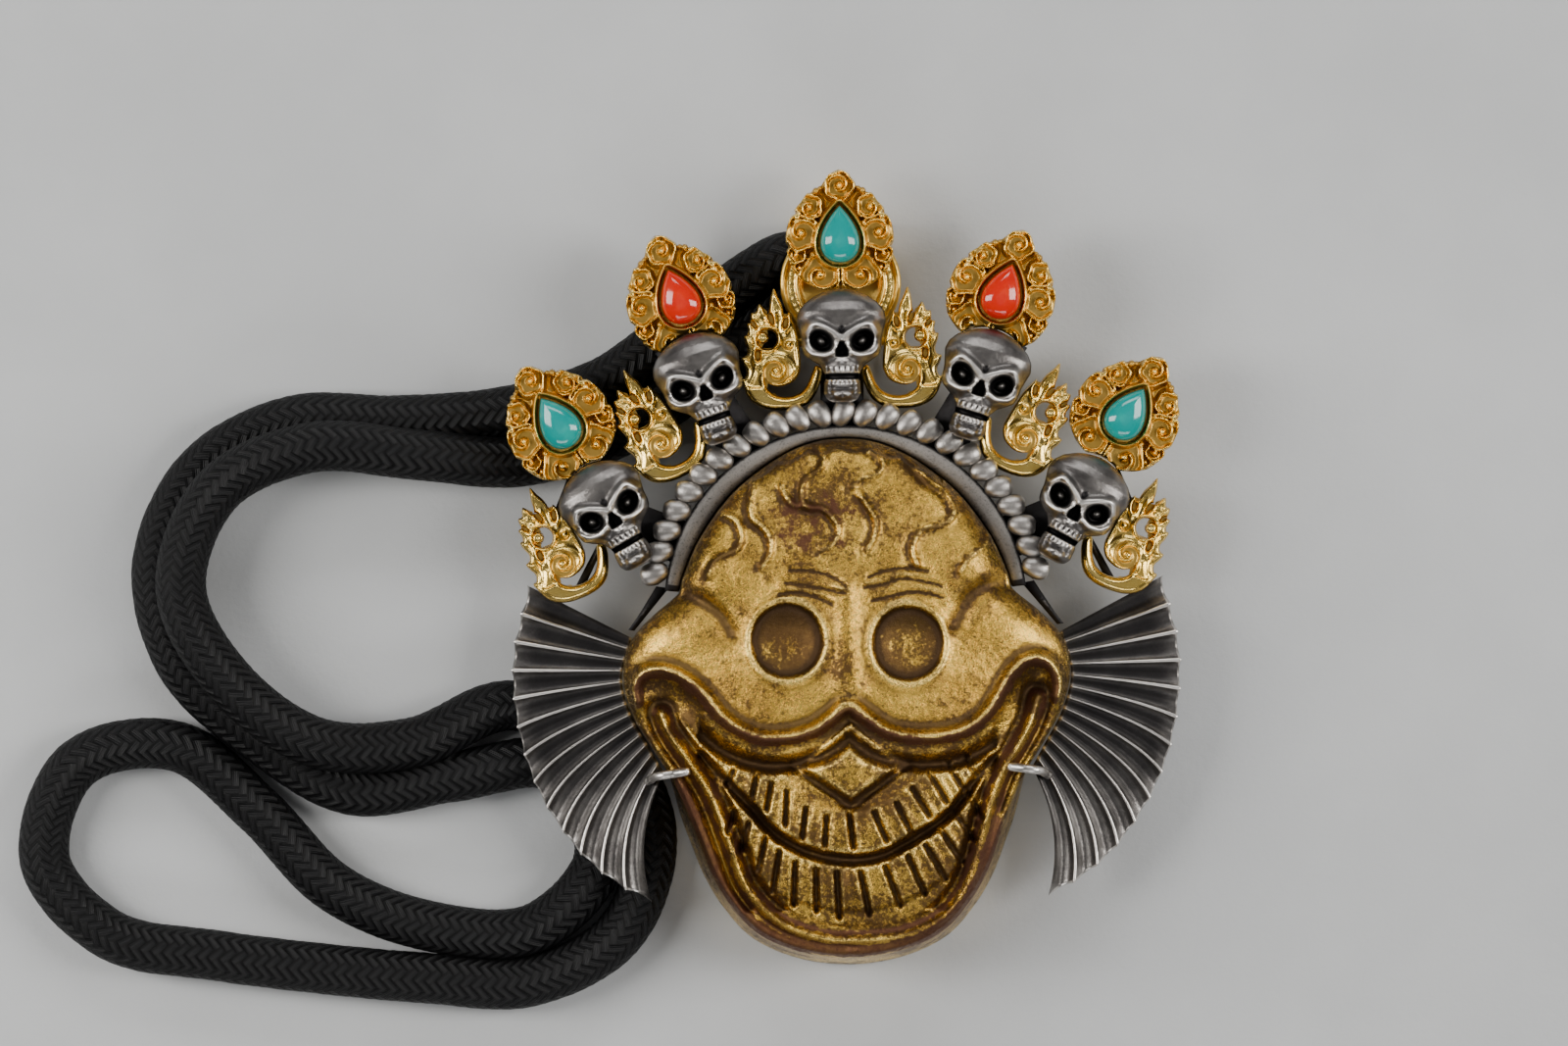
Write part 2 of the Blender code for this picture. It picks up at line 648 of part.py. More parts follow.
def make_bail(parts, cutters, material):
    """A round gold bail with a rimmed face, and a sleeve behind it that takes both strands from the left."""
    bm = bmesh.new()
    top = crown_base - gap
    face = top - bail_face_thickness
    profile = [(0, face), (bail_radius, face)]
    profile += [(bail_radius - inset, top - drop) for inset, drop in bail_face_steps]
    profile.append((0, top - bail_face_steps[2][1]))
    line = [bm.verts.new(Vector((r, 0, z)) * MM) for r, z in profile]
    edges = [bm.edges.new(pair) for pair in zip(line[:-1], line[1:])]
    bmesh.ops.spin(bm, geom=line + edges, axis=(0, 0, 1), cent=(0, 0, 0), angle=2 * math.pi, steps=24)
    bail = finish_mesh("bail", bm, parts, material)
    place(bail, *bail_centre, 0, 0)
    cx, cy = bail_centre
    reach = bail_sleeve_reach
    room = cord_diameter + gap + bail_sleeve_ease
    half = cord_contact / 2 + room / 2
    floor = cord_mouth_height - room / 2
    sleeve = box("bail_sleeve", (cx - reach, cy - half - bail_wall, 0), (cx + reach, cy + half + bail_wall, face + 0.3),
                 cutters)
    tunnel = box("bail_tunnel", (cx - reach - 2, cy - half, floor), (cx + reach - bail_wall, cy + half, floor + room),
                 cutters)
    add_boolean(bail, "UNION", sleeve)
    add_boolean(bail, "DIFFERENCE", tunnel)
    return bail


def cord_line(route, step):
    """The route's smooth line, kept up on the floor."""
    line = smooth_line(route, step)
    line[:, 2] = np.maximum(line[:, 2], cord_diameter / 2)
    return line


def cord_route():
    """The whole cord from the bail, round its end loop and back to the bail, in millimetres."""
    pair = np.array(cord_pair_route)
    ahead = np.gradient(pair[:, :2], axis=0)
    side = np.column_stack([-ahead[:, 1], ahead[:, 0]]) / np.linalg.norm(ahead, axis=1)[:, None]
    spread = pair[:, 2]
    lift = np.sqrt(np.maximum(cord_contact**2 - spread**2, 0))
    floor = np.full(len(pair), cord_diameter / 2)
    floor[:2] = cord_mouth_height
    going = np.column_stack([pair[:, :2] - side * spread[:, None] / 2, floor])
    coming = np.column_stack([pair[:, :2] + side * spread[:, None] / 2, floor + lift])
    return np.vstack([going, cord_end_loop, coming[::-1]])


def make_cord(parts, material):
    """A plain tube along the route, straight where it lies inside the bail's sleeve."""
    route = cord_route()
    free = cord_line(route[1:-1], cord_diameter * 2.1)
    return tube("cord", np.vstack([route[:1], free, route[-1:]]), cord_diameter / 2, 2, parts, material)


def build():
    clear_scene()
    parts = make_collection(parts_name)
    cutters = make_collection(cutters_name, hidden=True)
    gilt = make_material("gilt_copper", (0.62, 0.42, 0.16), 0.42, 1.0)
    silver = make_material("oxidised_silver", (0.42, 0.41, 0.40), 0.36, 1.0)
    gold = make_material("gold", (0.86, 0.62, 0.28), 0.28, 1.0)
    turquoise = make_material("turquoise", (0.05, 0.55, 0.55), 0.22, 0.0)
    coral = make_material("coral", (0.72, 0.07, 0.02), 0.22, 0.0)
    braid = make_material("cord_braid", (0.012, 0.012, 0.013), 0.7, 0.0)

    form = MaskForm()
    make_mask(form, parts, gilt)
    make_mount(parts, cutters, silver)
    make_beaded_border(parts, silver)
    crown = [("center", center_skull_place, center_finial_place, turquoise)]
    for rank, stone in (("mid", coral), ("outer", turquoise)):
        sx, sy, st = skull_places[rank]
        fx, fy, ft = finial_places[rank]
        crown.append((f"{rank}_left", (sx, sy, st), (fx, fy, ft), stone))
        crown.append((f"{rank}_right", (-sx, sy, -st), (-fx, fy, -ft), stone))
    for label, skull_where, finial_where, stone in crown:
        make_skull(f"skull_{label}", skull_where, parts, cutters, silver)
        make_finial(f"finial_{label}", finial_where, skull_where, parts, cutters, gold)
        make_stone(f"stone_{label}", finial_where, parts, stone)
    for rank, (x, y, turn) in scroll_places.items():
        make_scroll(f"scroll_{rank}_left", (x, y, turn), -1, parts, cutters, gold)
        make_scroll(f"scroll_{rank}_right", (-x, y, -turn), 1, parts, cutters, gold)
    for label, side in (("left", -1), ("right", 1)):
        make_fan(f"fan_{label}", side, form, parts, cutters, silver)
    make_bail(parts, cutters, gold)
    make_cord(parts, braid)


build()
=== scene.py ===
import math

import bpy
import numpy as np
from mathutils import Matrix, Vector


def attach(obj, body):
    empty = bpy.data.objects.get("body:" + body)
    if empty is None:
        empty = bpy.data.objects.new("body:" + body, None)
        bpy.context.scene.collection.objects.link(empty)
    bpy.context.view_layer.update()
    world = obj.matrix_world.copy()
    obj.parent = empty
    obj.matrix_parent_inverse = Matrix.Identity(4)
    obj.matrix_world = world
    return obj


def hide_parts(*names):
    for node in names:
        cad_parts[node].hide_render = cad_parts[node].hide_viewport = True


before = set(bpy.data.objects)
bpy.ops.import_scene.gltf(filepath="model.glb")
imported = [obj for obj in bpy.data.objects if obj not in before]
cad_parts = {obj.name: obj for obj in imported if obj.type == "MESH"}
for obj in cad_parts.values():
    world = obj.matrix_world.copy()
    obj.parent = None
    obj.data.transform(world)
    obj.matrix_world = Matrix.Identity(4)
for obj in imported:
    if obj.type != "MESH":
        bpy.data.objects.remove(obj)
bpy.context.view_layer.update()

# All lengths below are in millimetres, in the CAD model's own frame
MM = 0.001
LEVEL = 7.9


# Shapes

def run_along(line):
    return np.concatenate([[0], np.cumsum(np.linalg.norm(np.diff(line, axis=0), axis=1))])


def smooth_line(points, step, closed=False):
    """Points every step along a Catmull-Rom curve through the given points."""
    p = np.array(points, float)
    if closed:
        padded = [p[-1], *p, p[0], p[1]]
    else:
        padded = [2 * p[0] - p[1], *p, 2 * p[-1] - p[-2]]
    fine = []
    for a, b, c, d in zip(padded, padded[1:], padded[2:], padded[3:]):
        for t in np.linspace(0, 1, 12, endpoint=False):
            fine.append(0.5 * (2 * b + (c - a) * t + (2 * a - 5 * b + 4 * c - d) * t**2
                               + (3 * b - a - 3 * c + d) * t**3))
    fine = np.array([*fine, p[0] if closed else p[-1]])
    run = run_along(fine)
    at = np.linspace(0, run[-1], max(3, round(run[-1] / step) + 1))
    line = np.stack([np.interp(at, run, values) for values in fine.T], axis=1)
    return line[:-1] if closed else line


def line_distance(x, y, line):
    best = np.full(np.shape(x), np.inf)
    for (ax, ay), (bx, by) in zip(line[:-1], line[1:]):
        dx, dy = bx - ax, by - ay
        t = np.clip(((x - ax) * dx + (y - ay) * dy) / (dx * dx + dy * dy), 0, 1)
        best = np.minimum(best, np.hypot(x - ax - t * dx, y - ay - t * dy))
    return best


def inside(x, y, outline):
    hit = np.zeros(np.shape(x), bool)
    for (ax, ay), (bx, by) in zip(outline, np.roll(outline, -1, axis=0)):
        if ay != by:
            hit ^= ((ay > y) != (by > y)) & (x < (bx - ax) * (y - ay) / (by - ay) + ax)
    return hit


def signed(x, y, outline):
    """Distance from a closed line, positive inside it."""
    away = line_distance(x, y, np.vstack([outline, outline[:1]]))
    return np.where(inside(x, y, outline), away, -away)


def ease(value):
    """A soft step from 0 to 1 while the value goes from 0 to 1."""
    t = np.clip(value, 0, 1)
    return t * t * (3 - 2 * t)


def band(value, low, high, soft):
    """1 between low and high, with soft steps inside them."""
    return ease((value - low) / soft) * ease((high - value) / soft)


def ridge(d, wide):
    """1 where d is 0, falling softly to 0 on both sides."""
    return np.exp(-((d / wide) ** 2))


def bell(x, y, cx, cy, wide, high):
    """A round or oval ridge about one place."""
    return np.exp(-(((x - cx) / wide) ** 2) - ((y - cy) / high) ** 2)


def dome(r, radius):
    """Half a ball one high, r from its middle."""
    return np.sqrt(np.clip(1 - (r / radius) ** 2, 0, 1))


def rounded(d, wide):
    """A quarter round, from 0 at an edge to 1 where d is wide."""
    return dome(1 - np.clip(d / wide, 0, 1), 1)


def relief(verts, faces, rounds):
    """How far each point lies below (+) or above (-) its smoothed surroundings, in millimetres."""
    pairs = np.concatenate([faces[:, [k, (k + 1) % 4]] for k in range(4)])
    pairs = pairs[pairs[:, 0] != pairs[:, 1]]
    a, b = np.unique(np.sort(pairs, axis=1), axis=0).T
    n = len(verts)
    degree = np.maximum(np.bincount(a, minlength=n) + np.bincount(b, minlength=n), 1)
    soft = verts.copy()
    for _ in range(rounds):
        near = [np.bincount(a, p[b], n) + np.bincount(b, p[a], n) for p in soft.T]
        soft = 0.35 * soft + 0.65 * np.column_stack(near) / degree[:, None]
    one, two, three = (verts[faces[:, k]] - verts[faces[:, 0]] for k in (1, 2, 3))
    across = np.cross(one, two) + np.cross(two, three)
    normal = np.column_stack([sum(np.bincount(faces[:, k], part, n) for k in range(4)) for part in across.T])
    normal /= np.maximum(np.linalg.norm(normal, axis=1), 1e-12)[:, None]
    return np.sum((soft - verts) * normal, axis=1)


def add(name, data):
    obj = bpy.data.objects.new(name, data)
    bpy.context.scene.collection.objects.link(obj)
    return obj


def make_piece(name, verts, faces, material, replaces, rounds=0, tones=None):
    """A mesh piece of the pendant, with its relief kept for the material where rounds is given."""
    mesh = bpy.data.meshes.new(name)
    mesh.from_pydata((verts * MM).tolist(), [], [tuple(dict.fromkeys(f)) for f in faces.tolist()])
    mesh.validate()
    tones = dict(tones or {})
    if rounds:
        tones["relief"] = relief(verts, faces, rounds)
    for tone, values in tones.items():
        mesh.attributes.new(tone, "FLOAT", "POINT").data.foreach_set("value", values)
    mesh.shade_smooth()
    mesh.materials.append(material)
    obj = add(name, mesh)
    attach(obj, "root")
    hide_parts(*replaces)
    return obj


def circle(count):
    """Angles of even steps round a circle."""
    return np.linspace(0, 2 * math.pi, count, endpoint=False)


def at_level(flat, z):
    """Points of a plan, lifted to a height."""
    return np.column_stack([flat, np.broadcast_to(z, len(flat))])


def join(shapes):
    """Several shapes, each with its points, faces and dirt and painted shade, as one."""
    starts = np.cumsum([0] + [len(verts) for verts, _, _ in shapes])
    return (np.vstack([verts for verts, _, _ in shapes]),
            np.vstack([faces + start for (_, faces, _), start in zip(shapes, starts)]),
            np.concatenate([np.broadcast_to(dirt_and_shade, len(verts)) for verts, _, dirt_and_shade in shapes]))


def loft(rings, caps=True):
    """Quads over rings of equally many points, with a middle point at each end."""
    rings = [np.asarray(r, float) for r in rings]
    n = len(rings[0])
    verts = np.vstack(rings)
    i, k = np.meshgrid(np.arange(len(rings) - 1), np.arange(n), indexing="ij")
    j = (k + 1) % n
    faces = [np.stack([i * n + k, i * n + j, (i + 1) * n + j, (i + 1) * n + k], axis=-1).reshape(-1, 4)]
    if caps:
        for row, flip in ((0, 1), (len(rings) - 1, -1)):
            ring = row * n + np.arange(n)
            hub = np.full(n, len(verts))
            verts = np.vstack([verts, verts[ring].mean(axis=0)])
            other = np.roll(ring, flip)
            faces.append(np.stack([hub, ring, other, other], axis=-1))
    return verts, np.vstack(faces)


def frames(line):
    """Two directions square to a line at each of its points, one of them level."""
    ahead = np.gradient(line, axis=0)
    ahead /= np.linalg.norm(ahead, axis=1)[:, None]
    over = np.cross(ahead, [0.0, 0.0, 1.0])
    over /= np.maximum(np.linalg.norm(over, axis=1), 1e-6)[:, None]
    return over, np.cross(over, ahead)


def sweep(line, radii, sides=14):
    """A round bar along a line, with its own radius at each point."""
    line = np.asarray(line, float)
    a = circle(sides)
    radii = np.broadcast_to(radii, len(line))
    return loft([p + r * (np.outer(np.cos(a), over) - np.outer(np.sin(a), up))
                 for p, r, over, up in zip(line, radii, *frames(line))])


def slab(outline, low, high, soft=0.12):
    """A flat plate with softened edges over an outline that turns one way."""
    flat = np.asarray(outline, float)
    middle = flat.mean(axis=0)
    inner = middle + (flat - middle) * (1 - soft / np.linalg.norm(flat - middle, axis=1))[:, None]
    levels = ((inner, low), (flat, low + soft), (flat, high - soft), (inner, high))
    return loft([at_level(*level) for level in levels])


# Materials

# The crest colour is a painted highlight as well as rubbed gold.
OLD_GOLD, DEEP_GOLD, CREST_WEAR_AND_HIGHLIGHT = (0.70, 0.435, 0.078), (0.43, 0.25, 0.043), (0.95, 0.68, 0.2)
# The brown-black colour is heavy grime and painted shade.
BROWN_FILM, DARK_SPECKS, BROWN_BLACK = (0.27, 0.145, 0.035), (0.085, 0.046, 0.021), (0.03, 0.017, 0.01)
# The grime colour is painted shade in the hollows as well as grime.
GRIME_AND_SHADE, BARE_COPPER = (0.08, 0.047, 0.025), (0.115, 0.05, 0.03)
GREY_SILVER, DARK_SILVER = (0.25, 0.235, 0.222), (0.14, 0.13, 0.124)
# The bright colour is rubbed silver and a painted highlight on ridges; the sulphide colour is black oxide and
# painted shade.
SATIN_SILVER, BRIGHT_SILVER, SULPHIDE_AND_SHADE = (0.58, 0.55, 0.51), (0.84, 0.80, 0.75), (0.018, 0.017, 0.018)
BRIGHT_GOLD, WARM_GOLD, SHADED_GOLD = (1.0, 0.73, 0.22), (0.93, 0.62, 0.14), (0.42, 0.215, 0.03)


class Finish:
    """A node material in the making, with short ways to add the nodes it needs."""

    def __init__(self, name):
        self.material = bpy.data.materials.new(name)
        self.material.use_nodes = True
        self.tree = self.material.node_tree
        self.shader = self.tree.nodes["Principled BSDF"]
        self.place = self.tree.nodes.new("ShaderNodeTexCoord").outputs["Object"]

    def node(self, kind, inputs, **settings):
        made = self.tree.nodes.new(kind)
        for key, value in settings.items():
            setattr(made, key, value)
        for key, value in inputs.items():
            self.put(made.inputs[key], value)
        return made

    def put(self, socket, value):
        if isinstance(value, bpy.types.NodeSocket):
            self.tree.links.new(value, socket)
        else:
            socket.default_value = value

    def calc(self, kind, a, b=0.0):
        return self.node("ShaderNodeMath", {0: a, 1: b}, operation=kind).outputs[0]

    def times(self, a, b):
        return self.calc("MULTIPLY", a, b)

    def plus(self, a, b):
        return self.calc("ADD", a, b)

    def noise(self, size, detail=4.0, rough=0.55):
        """Noise whose features are about size millimetres across."""
        inputs = {"Vector": self.place, "Scale": 1000 / size, "Detail": detail, "Roughness": rough}
        return self.node("ShaderNodeTexNoise", inputs).outputs["Fac"]

    def spread(self, value, amount):
        """A noise value about zero, times an amount."""
        return self.times(self.calc("SUBTRACT", value, 0.5), amount)

    def ramp(self, value, low, high):
        """0 below low and 1 above high."""
        ends = {"Value": value, "From Min": low, "From Max": high}
        return self.node("ShaderNodeMapRange", ends, interpolation_type="SMOOTHSTEP").outputs[0]

    def mix(self, share, a, b):
        made = self.tree.nodes.new("ShaderNodeMix")
        made.data_type = "RGBA"
        self.put(made.inputs["Factor"], share)
        for key, value in (("A", a), ("B", b)):
            socket = [s for s in made.inputs if s.name == key and s.type == "RGBA"][0]
            self.put(socket, value if isinstance(value, bpy.types.NodeSocket) else (*value, 1.0))
        return [s for s in made.outputs if s.type == "RGBA"][0]

    def laid(self, base, share, amount, colour):
        """A base with a colour laid over it, by a share from 0 to 1 times an amount."""
        return self.mix(self.times(share, amount), base, colour)

    def tone(self, name="relief"):
        return self.node("ShaderNodeAttribute", {}, attribute_name=name).outputs["Fac"]

    def bump(self, height, depth, normal=None):
        """Bumps depth millimetres high."""
        inputs = {"Height": height, "Distance": depth * MM, "Strength": 1.0}
        if normal is not None:
            inputs["Normal"] = normal
        return self.node("ShaderNodeBump", inputs).outputs[0]

    def done(self, **values):
        for key, value in values.items():
            socket = self.shader.inputs[key.replace("_", " ")]
            if isinstance(value, tuple):
                value = (*value, 1.0)
            self.put(socket, value)
        return self.material


def gilt_finish():
    """Old gilding: clouded gold under a brown film, specked, dark in its hollows with grime and painted
    shade, light on its crests with rubbed gold and a painted highlight, rubbed to copper.
    """
    f = Finish("worn_gilt")
    low, worn, dirt_and_shade = f.tone(), f.tone("worn"), f.tone("dirt_and_shade")
    clouds, film = f.noise(7.0, 5.0, 0.6), f.noise(2.4, 5.0, 0.65)
    spots, fine, grains = f.noise(0.9, 6.0, 0.75), f.noise(0.4, 5.0, 0.8), f.noise(0.35, 4.0, 0.65)
    gold = f.mix(f.ramp(clouds, 0.35, 0.65), OLD_GOLD, DEEP_GOLD)
    gold = f.laid(gold, f.ramp(film, 0.46, 0.66), 0.62, BROWN_FILM)
    # Crests lightened: rubbed gold and a painted highlight.
    gold = f.laid(gold, f.ramp(f.times(low, -1.0), 0.05, 0.2), 0.6, CREST_WEAR_AND_HIGHLIGHT)
    speckle = f.plus(f.plus(f.spread(fine, 1.5), f.spread(spots, 0.9)), f.spread(clouds, 0.7))
    # Specks gather where there is dirt and painted shade.
    speckle = f.plus(f.plus(speckle, f.spread(film, 0.7)), f.times(dirt_and_shade, 0.45))
    gold = f.laid(gold, f.ramp(speckle, 0.055, 0.29), 0.9, DARK_SPECKS)
    # Brown-black where the dirt and painted shade run heavy.
    gold = f.laid(gold, f.ramp(dirt_and_shade, 0.85, 1.3), 0.75, BROWN_BLACK)
    # Hollows darkened with grime and painted shade.
    hollow = f.ramp(f.plus(low, f.spread(fine, 0.3)), 0.0, 0.15)
    gold = f.laid(gold, hollow, 0.88, GRIME_AND_SHADE)
    patches = f.plus(f.spread(film, 0.9), f.spread(spots, 0.9))
    rubbed = f.ramp(f.plus(worn, patches), 0.34, 0.5)
    gold = f.laid(gold, rubbed, 0.92, BARE_COPPER)
    rough = f.plus(f.times(grains, 0.26), f.times(f.ramp(speckle, 0.1, 0.4), 0.2))
    rough = f.plus(rough, f.plus(f.times(f.calc("MAXIMUM", rubbed, hollow), 0.2), 0.13))
    normal = f.bump(grains, 0.03, f.bump(spots, 0.11, f.bump(film, 0.17)))
    return f.done(Base_Color=gold, Metallic=1.0, Roughness=rough, Normal=normal)


def silver_finish():
    """Oxidised silver: dark grey, black in its hollows with sulphide and painted shade, bright on its ridges
    with wear and a painted highlight, and satin where it is handled.
    """
    f = Finish("oxidised_silver")
    low, dirt_and_shade, worn = f.tone(), f.tone("dirt_and_shade"), f.tone("worn")
    clouds, grains = f.noise(2.5, 5.0, 0.6), f.noise(0.28, 4.0, 0.65)
    silver = f.mix(f.ramp(clouds, 0.35, 0.65), GREY_SILVER, DARK_SILVER)
    silver = f.laid(silver, f.times(worn, f.ramp(grains, 0.3, 0.55)), 0.6, SATIN_SILVER)
    # Ridges lightened: rubbed silver and a painted highlight.
    silver = f.laid(silver, f.ramp(f.times(low, -1.0), 0.015, 0.11), 0.85, BRIGHT_SILVER)
    specks = f.spread(grains, 0.12)
    # Hollows and marked places blackened: sulphide and painted shade.
    hollow = f.ramp(f.plus(low, specks), 0.0, 0.1)
    hollow = f.calc("MAXIMUM", hollow, f.ramp(f.plus(dirt_and_shade, specks), 0.2, 0.9))
    silver = f.laid(silver, hollow, 0.95, SULPHIDE_AND_SHADE)
    rough = f.plus(f.times(grains, 0.25), f.times(f.plus(hollow, worn), 0.2))
    return f.done(Base_Color=silver, Metallic=1.0, Roughness=f.plus(rough, 0.23), Normal=f.bump(grains, 0.03))


def gold_finish():
    """Polished gold, deeper in its hollows."""
    f = Finish("bright_gold")
    clouds, grains = f.noise(2.5, 4.0, 0.6), f.noise(0.2, 3.0, 0.6)
    gold = f.mix(f.ramp(clouds, 0.3, 0.7), BRIGHT_GOLD, WARM_GOLD)
    hollow = f.calc("MAXIMUM", f.ramp(f.tone(), 0.01, 0.16), f.tone("dirt_and_shade"))
    gold = f.laid(gold, hollow, 0.88, SHADED_GOLD)
    rough = f.plus(f.times(grains, 0.16), f.times(hollow, 0.2))
    return f.done(Base_Color=gold, Metallic=1.0, Roughness=f.plus(rough, 0.16), Normal=f.bump(grains, 0.022))


def stone_finish(name, body, vein):
    f = Finish(name)
    clouds, grains = f.noise(1.6, 5.0, 0.6), f.noise(0.25, 3.0, 0.6)
    colour = f.mix(f.times(f.ramp(clouds, 0.45, 0.75), 0.8), body, vein)
    return f.done(Base_Color=colour, Roughness=f.plus(f.times(grains, 0.06), 0.08), Coat_Weight=0.4,
                  Coat_Roughness=0.04, Normal=f.bump(clouds, 0.015))


GILT = gilt_finish()
SILVER = silver_finish()
GOLD = gold_finish()
TURQUOISE = stone_finish("turquoise_stone", (0.002, 0.27, 0.25), (0.01, 0.36, 0.31))
CORAL = stone_finish("coral_stone", (0.60, 0.012, 0.002), (0.70, 0.04, 0.006))


# Cord: the route of part.py

CORD_DIAMETER = 5.0
CORD_CONTACT = 5.06
CORD_MOUTH_HEIGHT = 3.5
CORD_PAIR_ROUTE = [
    (-2.6, 27.8, 5.06), (-5.6, 27.8, 5.06), (-10.2, 25.4, 5.06), (-16.6, 19.8, 5.06), (-24.4, 15.4, 5.06),
    (-33.0, 13.4, 5.0), (-43.5, 13.6, 3.2), (-54.0, 13.9, 2.8), (-61.2, 10.4, 2.8), (-65.2, 4.2, 2.8),
    (-66.0, -3.0, 2.8), (-62.8, -9.2, 2.8), (-57.6, -13.8, 2.8), (-52.6, -17.4, 3.0), (-47.4, -19.4, 3.6),
    (-42.4, -18.8, 4.6), (-37.8, -16.6, 5.06), (-32.9, -15.4, 5.06), (-27.3, -16.9, 5.06),
    (-23.2, -21.0, 5.06), (-21.8, -26.6, 5.06), (-23.4, -32.2, 5.06), (-27.5, -36.2, 5.06),
    (-33.4, -37.6, 5.06), (-40.6, -37.0, 5.06),
]
CORD_END_LOOP = [
    (-47.0, -33.0, 2.5), (-52.2, -28.9, 2.5), (-57.2, -23.4, 2.5), (-62.6, -18.2, 2.5), (-69.0, -15.6, 2.5),
    (-76.1, -18.5, 2.5), (-79.0, -25.6, 2.5), (-76.1, -32.7, 2.5), (-69.0, -35.8, 2.5), (-60.0, -37.2, 2.5),
    (-50.0, -38.6, 2.5),
]
CARRIERS = 14
STRAND_RISE = 0.11


def cord_route():
    pair = np.array(CORD_PAIR_ROUTE)
    ahead = np.gradient(pair[:, :2], axis=0)
    side = np.column_stack([-ahead[:, 1], ahead[:, 0]]) / np.linalg.norm(ahead, axis=1)[:, None]
    spread = pair[:, 2]
    lift = np.sqrt(np.maximum(CORD_CONTACT**2 - spread**2, 0))
    floor = np.full(len(pair), CORD_DIAMETER / 2)
    floor[:2] = CORD_MOUTH_HEIGHT
    going = np.column_stack([pair[:, :2] - side * spread[:, None] / 2, floor])
    coming = np.column_stack([pair[:, :2] + side * spread[:, None] / 2, floor + lift])
    return np.vstack([going, CORD_END_LOOP, coming[::-1]])


def cord_line(step):
    route = cord_route()
    coarse = smooth_line(route[1:-1], CORD_DIAMETER * 2.1)
    free = smooth_line(np.vstack([route[:1], coarse, route[-1:]]), step)
    free[:, 2] = np.maximum(free[:, 2], CORD_DIAMETER / 2)
    return free


def braid_finish():
    """Black fibre whose light falls across each strand of the braid."""
    f = Finish("black_braid")
    uv = f.node("ShaderNodeUVMap", {}, uv_map="braid").outputs[0]
    around, along = f.node("ShaderNodeSeparateXYZ", {0: uv}).outputs[:2]
    left, right = f.plus(around, along), f.calc("SUBTRACT", around, along)
    cells = f.plus(f.calc("FLOOR", left), f.calc("FLOOR", right))
    over = f.calc("PINGPONG", f.calc("FLOOR", f.times(cells, 0.5)), 1.0)
    threads = []
    for phase in (left, right):
        hump = f.calc("SINE", f.times(f.calc("FRACT", phase), math.pi))
        fibre = f.calc("SINE", f.times(phase, 8 * math.pi))
        threads.append(f.plus(hump, f.times(fibre, 0.1)))
    chosen = f.node("ShaderNodeMix", {"Factor": over, "A": threads[0], "B": threads[1]}).outputs[0]
    fuzz = f.noise(0.12, 3.0, 0.7)
    colour = f.mix(f.ramp(chosen, 0.15, 0.95), (0.0005, 0.0005, 0.0006), (0.0055, 0.0055, 0.006))
    colour = f.laid(colour, f.ramp(fuzz, 0.6, 0.8), 0.25, (0.02, 0.02, 0.021))
    return f.done(Base_Color=colour, Roughness=f.plus(f.times(fuzz, 0.25), 0.34),
                  Normal=f.bump(f.plus(chosen, f.times(fuzz, 0.25)), 0.2), Specular_IOR_Level=0.22)


def make_cord():
    line = cord_line(0.5)
    over, up = frames(line)
    run = run_along(line)
    sides = 70
    around = np.arange(sides) / sides
    lead = run / (math.pi * CORD_DIAMETER) * CARRIERS
    left, right = around * CARRIERS + lead[:, None], around * CARRIERS - lead[:, None]
    top = np.where((np.floor(left) + np.floor(right)) % 4 < 2, left, right)
    radius = CORD_DIAMETER / 2 - STRAND_RISE * (1 - np.sin(math.pi * (top % 1)))
    angle = 2 * math.pi * around
    verts, faces = loft(line[:, None] + over[:, None] * (radius * np.cos(angle))[..., None]
                        + up[:, None] * (radius * np.sin(angle))[..., None], caps=False)
    piece = make_piece("braided_cord", verts, faces, braid_finish(), ["cord"])
    layer = piece.data.uv_layers.new(name="braid")
    i, k = np.meshgrid(np.arange(len(line) - 1), np.arange(sides), indexing="ij")
    low = around[k] * CARRIERS
    high = low + CARRIERS / sides
    here, there = lead[i], lead[i + 1]
    corners = np.stack([low, here, high, here, high, there, low, there], axis=-1)
    layer.data.foreach_set("uv", corners.reshape(-1))


# Mask: the form of part.py, carved finer

MASK_OUTLINE = [
    (0.0, 12.7), (5.0, 11.6), (10.4, 7.9), (14.0, 3.3), (15.8, -0.7), (16.2, -2.1), (18.9, -4.4),
    (21.1, -7.0), (21.75, -10.3), (20.9, -13.8), (19.1, -17.0), (17.0, -20.4), (15.2, -24.6), (13.6, -29.0),
    (11.8, -32.2), (9.1, -35.2), (5.0, -37.1), (0.0, -37.8),
]
MASK_HALF_WIDTH = 21.75
MASK_CENTRE = np.array([0.0, -13.0])
MASK_WALL = 8.9
MASK_SHELL = 1.4
MASK_TOP = 15.74
EYES = [(-5.75, -6.8, 3.45, 3.6), (5.95, -7.25, 3.4, 3.6)]
LIP = [
    (-20.4, -12.4), (-20.6, -11.3), (-20.1, -10.1), (-19.0, -9.5), (-17.3, -9.6), (-15.4, -10.5),
    (-13.7, -12.0), (-12.2, -13.9), (-10.4, -15.3), (-8.2, -16.1), (-5.9, -16.1), (-3.5, -15.5),
    (-1.6, -14.3), (0.0, -13.2), (1.8, -14.3), (3.7, -15.6), (6.0, -16.2), (8.9, -16.2), (11.3, -15.6),
    (13.2, -14.3), (14.6, -12.4), (15.9, -10.3), (17.5, -9.0), (19.1, -9.0), (20.2, -10.1), (20.6, -11.5),
    (20.4, -12.6),
]
FOLD = [
    (-18.0, -13.7), (-17.3, -15.6), (-15.4, -18.4), (-13.3, -21.8), (-11.6, -26.5), (-10.0, -30.8),
    (-6.8, -34.1), (-3.0, -35.6), (0.8, -35.9), (5.2, -35.5), (8.9, -33.8), (11.3, -30.8), (12.5, -27.5),
    (13.5, -23.7), (14.9, -19.9), (16.4, -17.5), (17.7, -15.1), (18.4, -12.7),
]
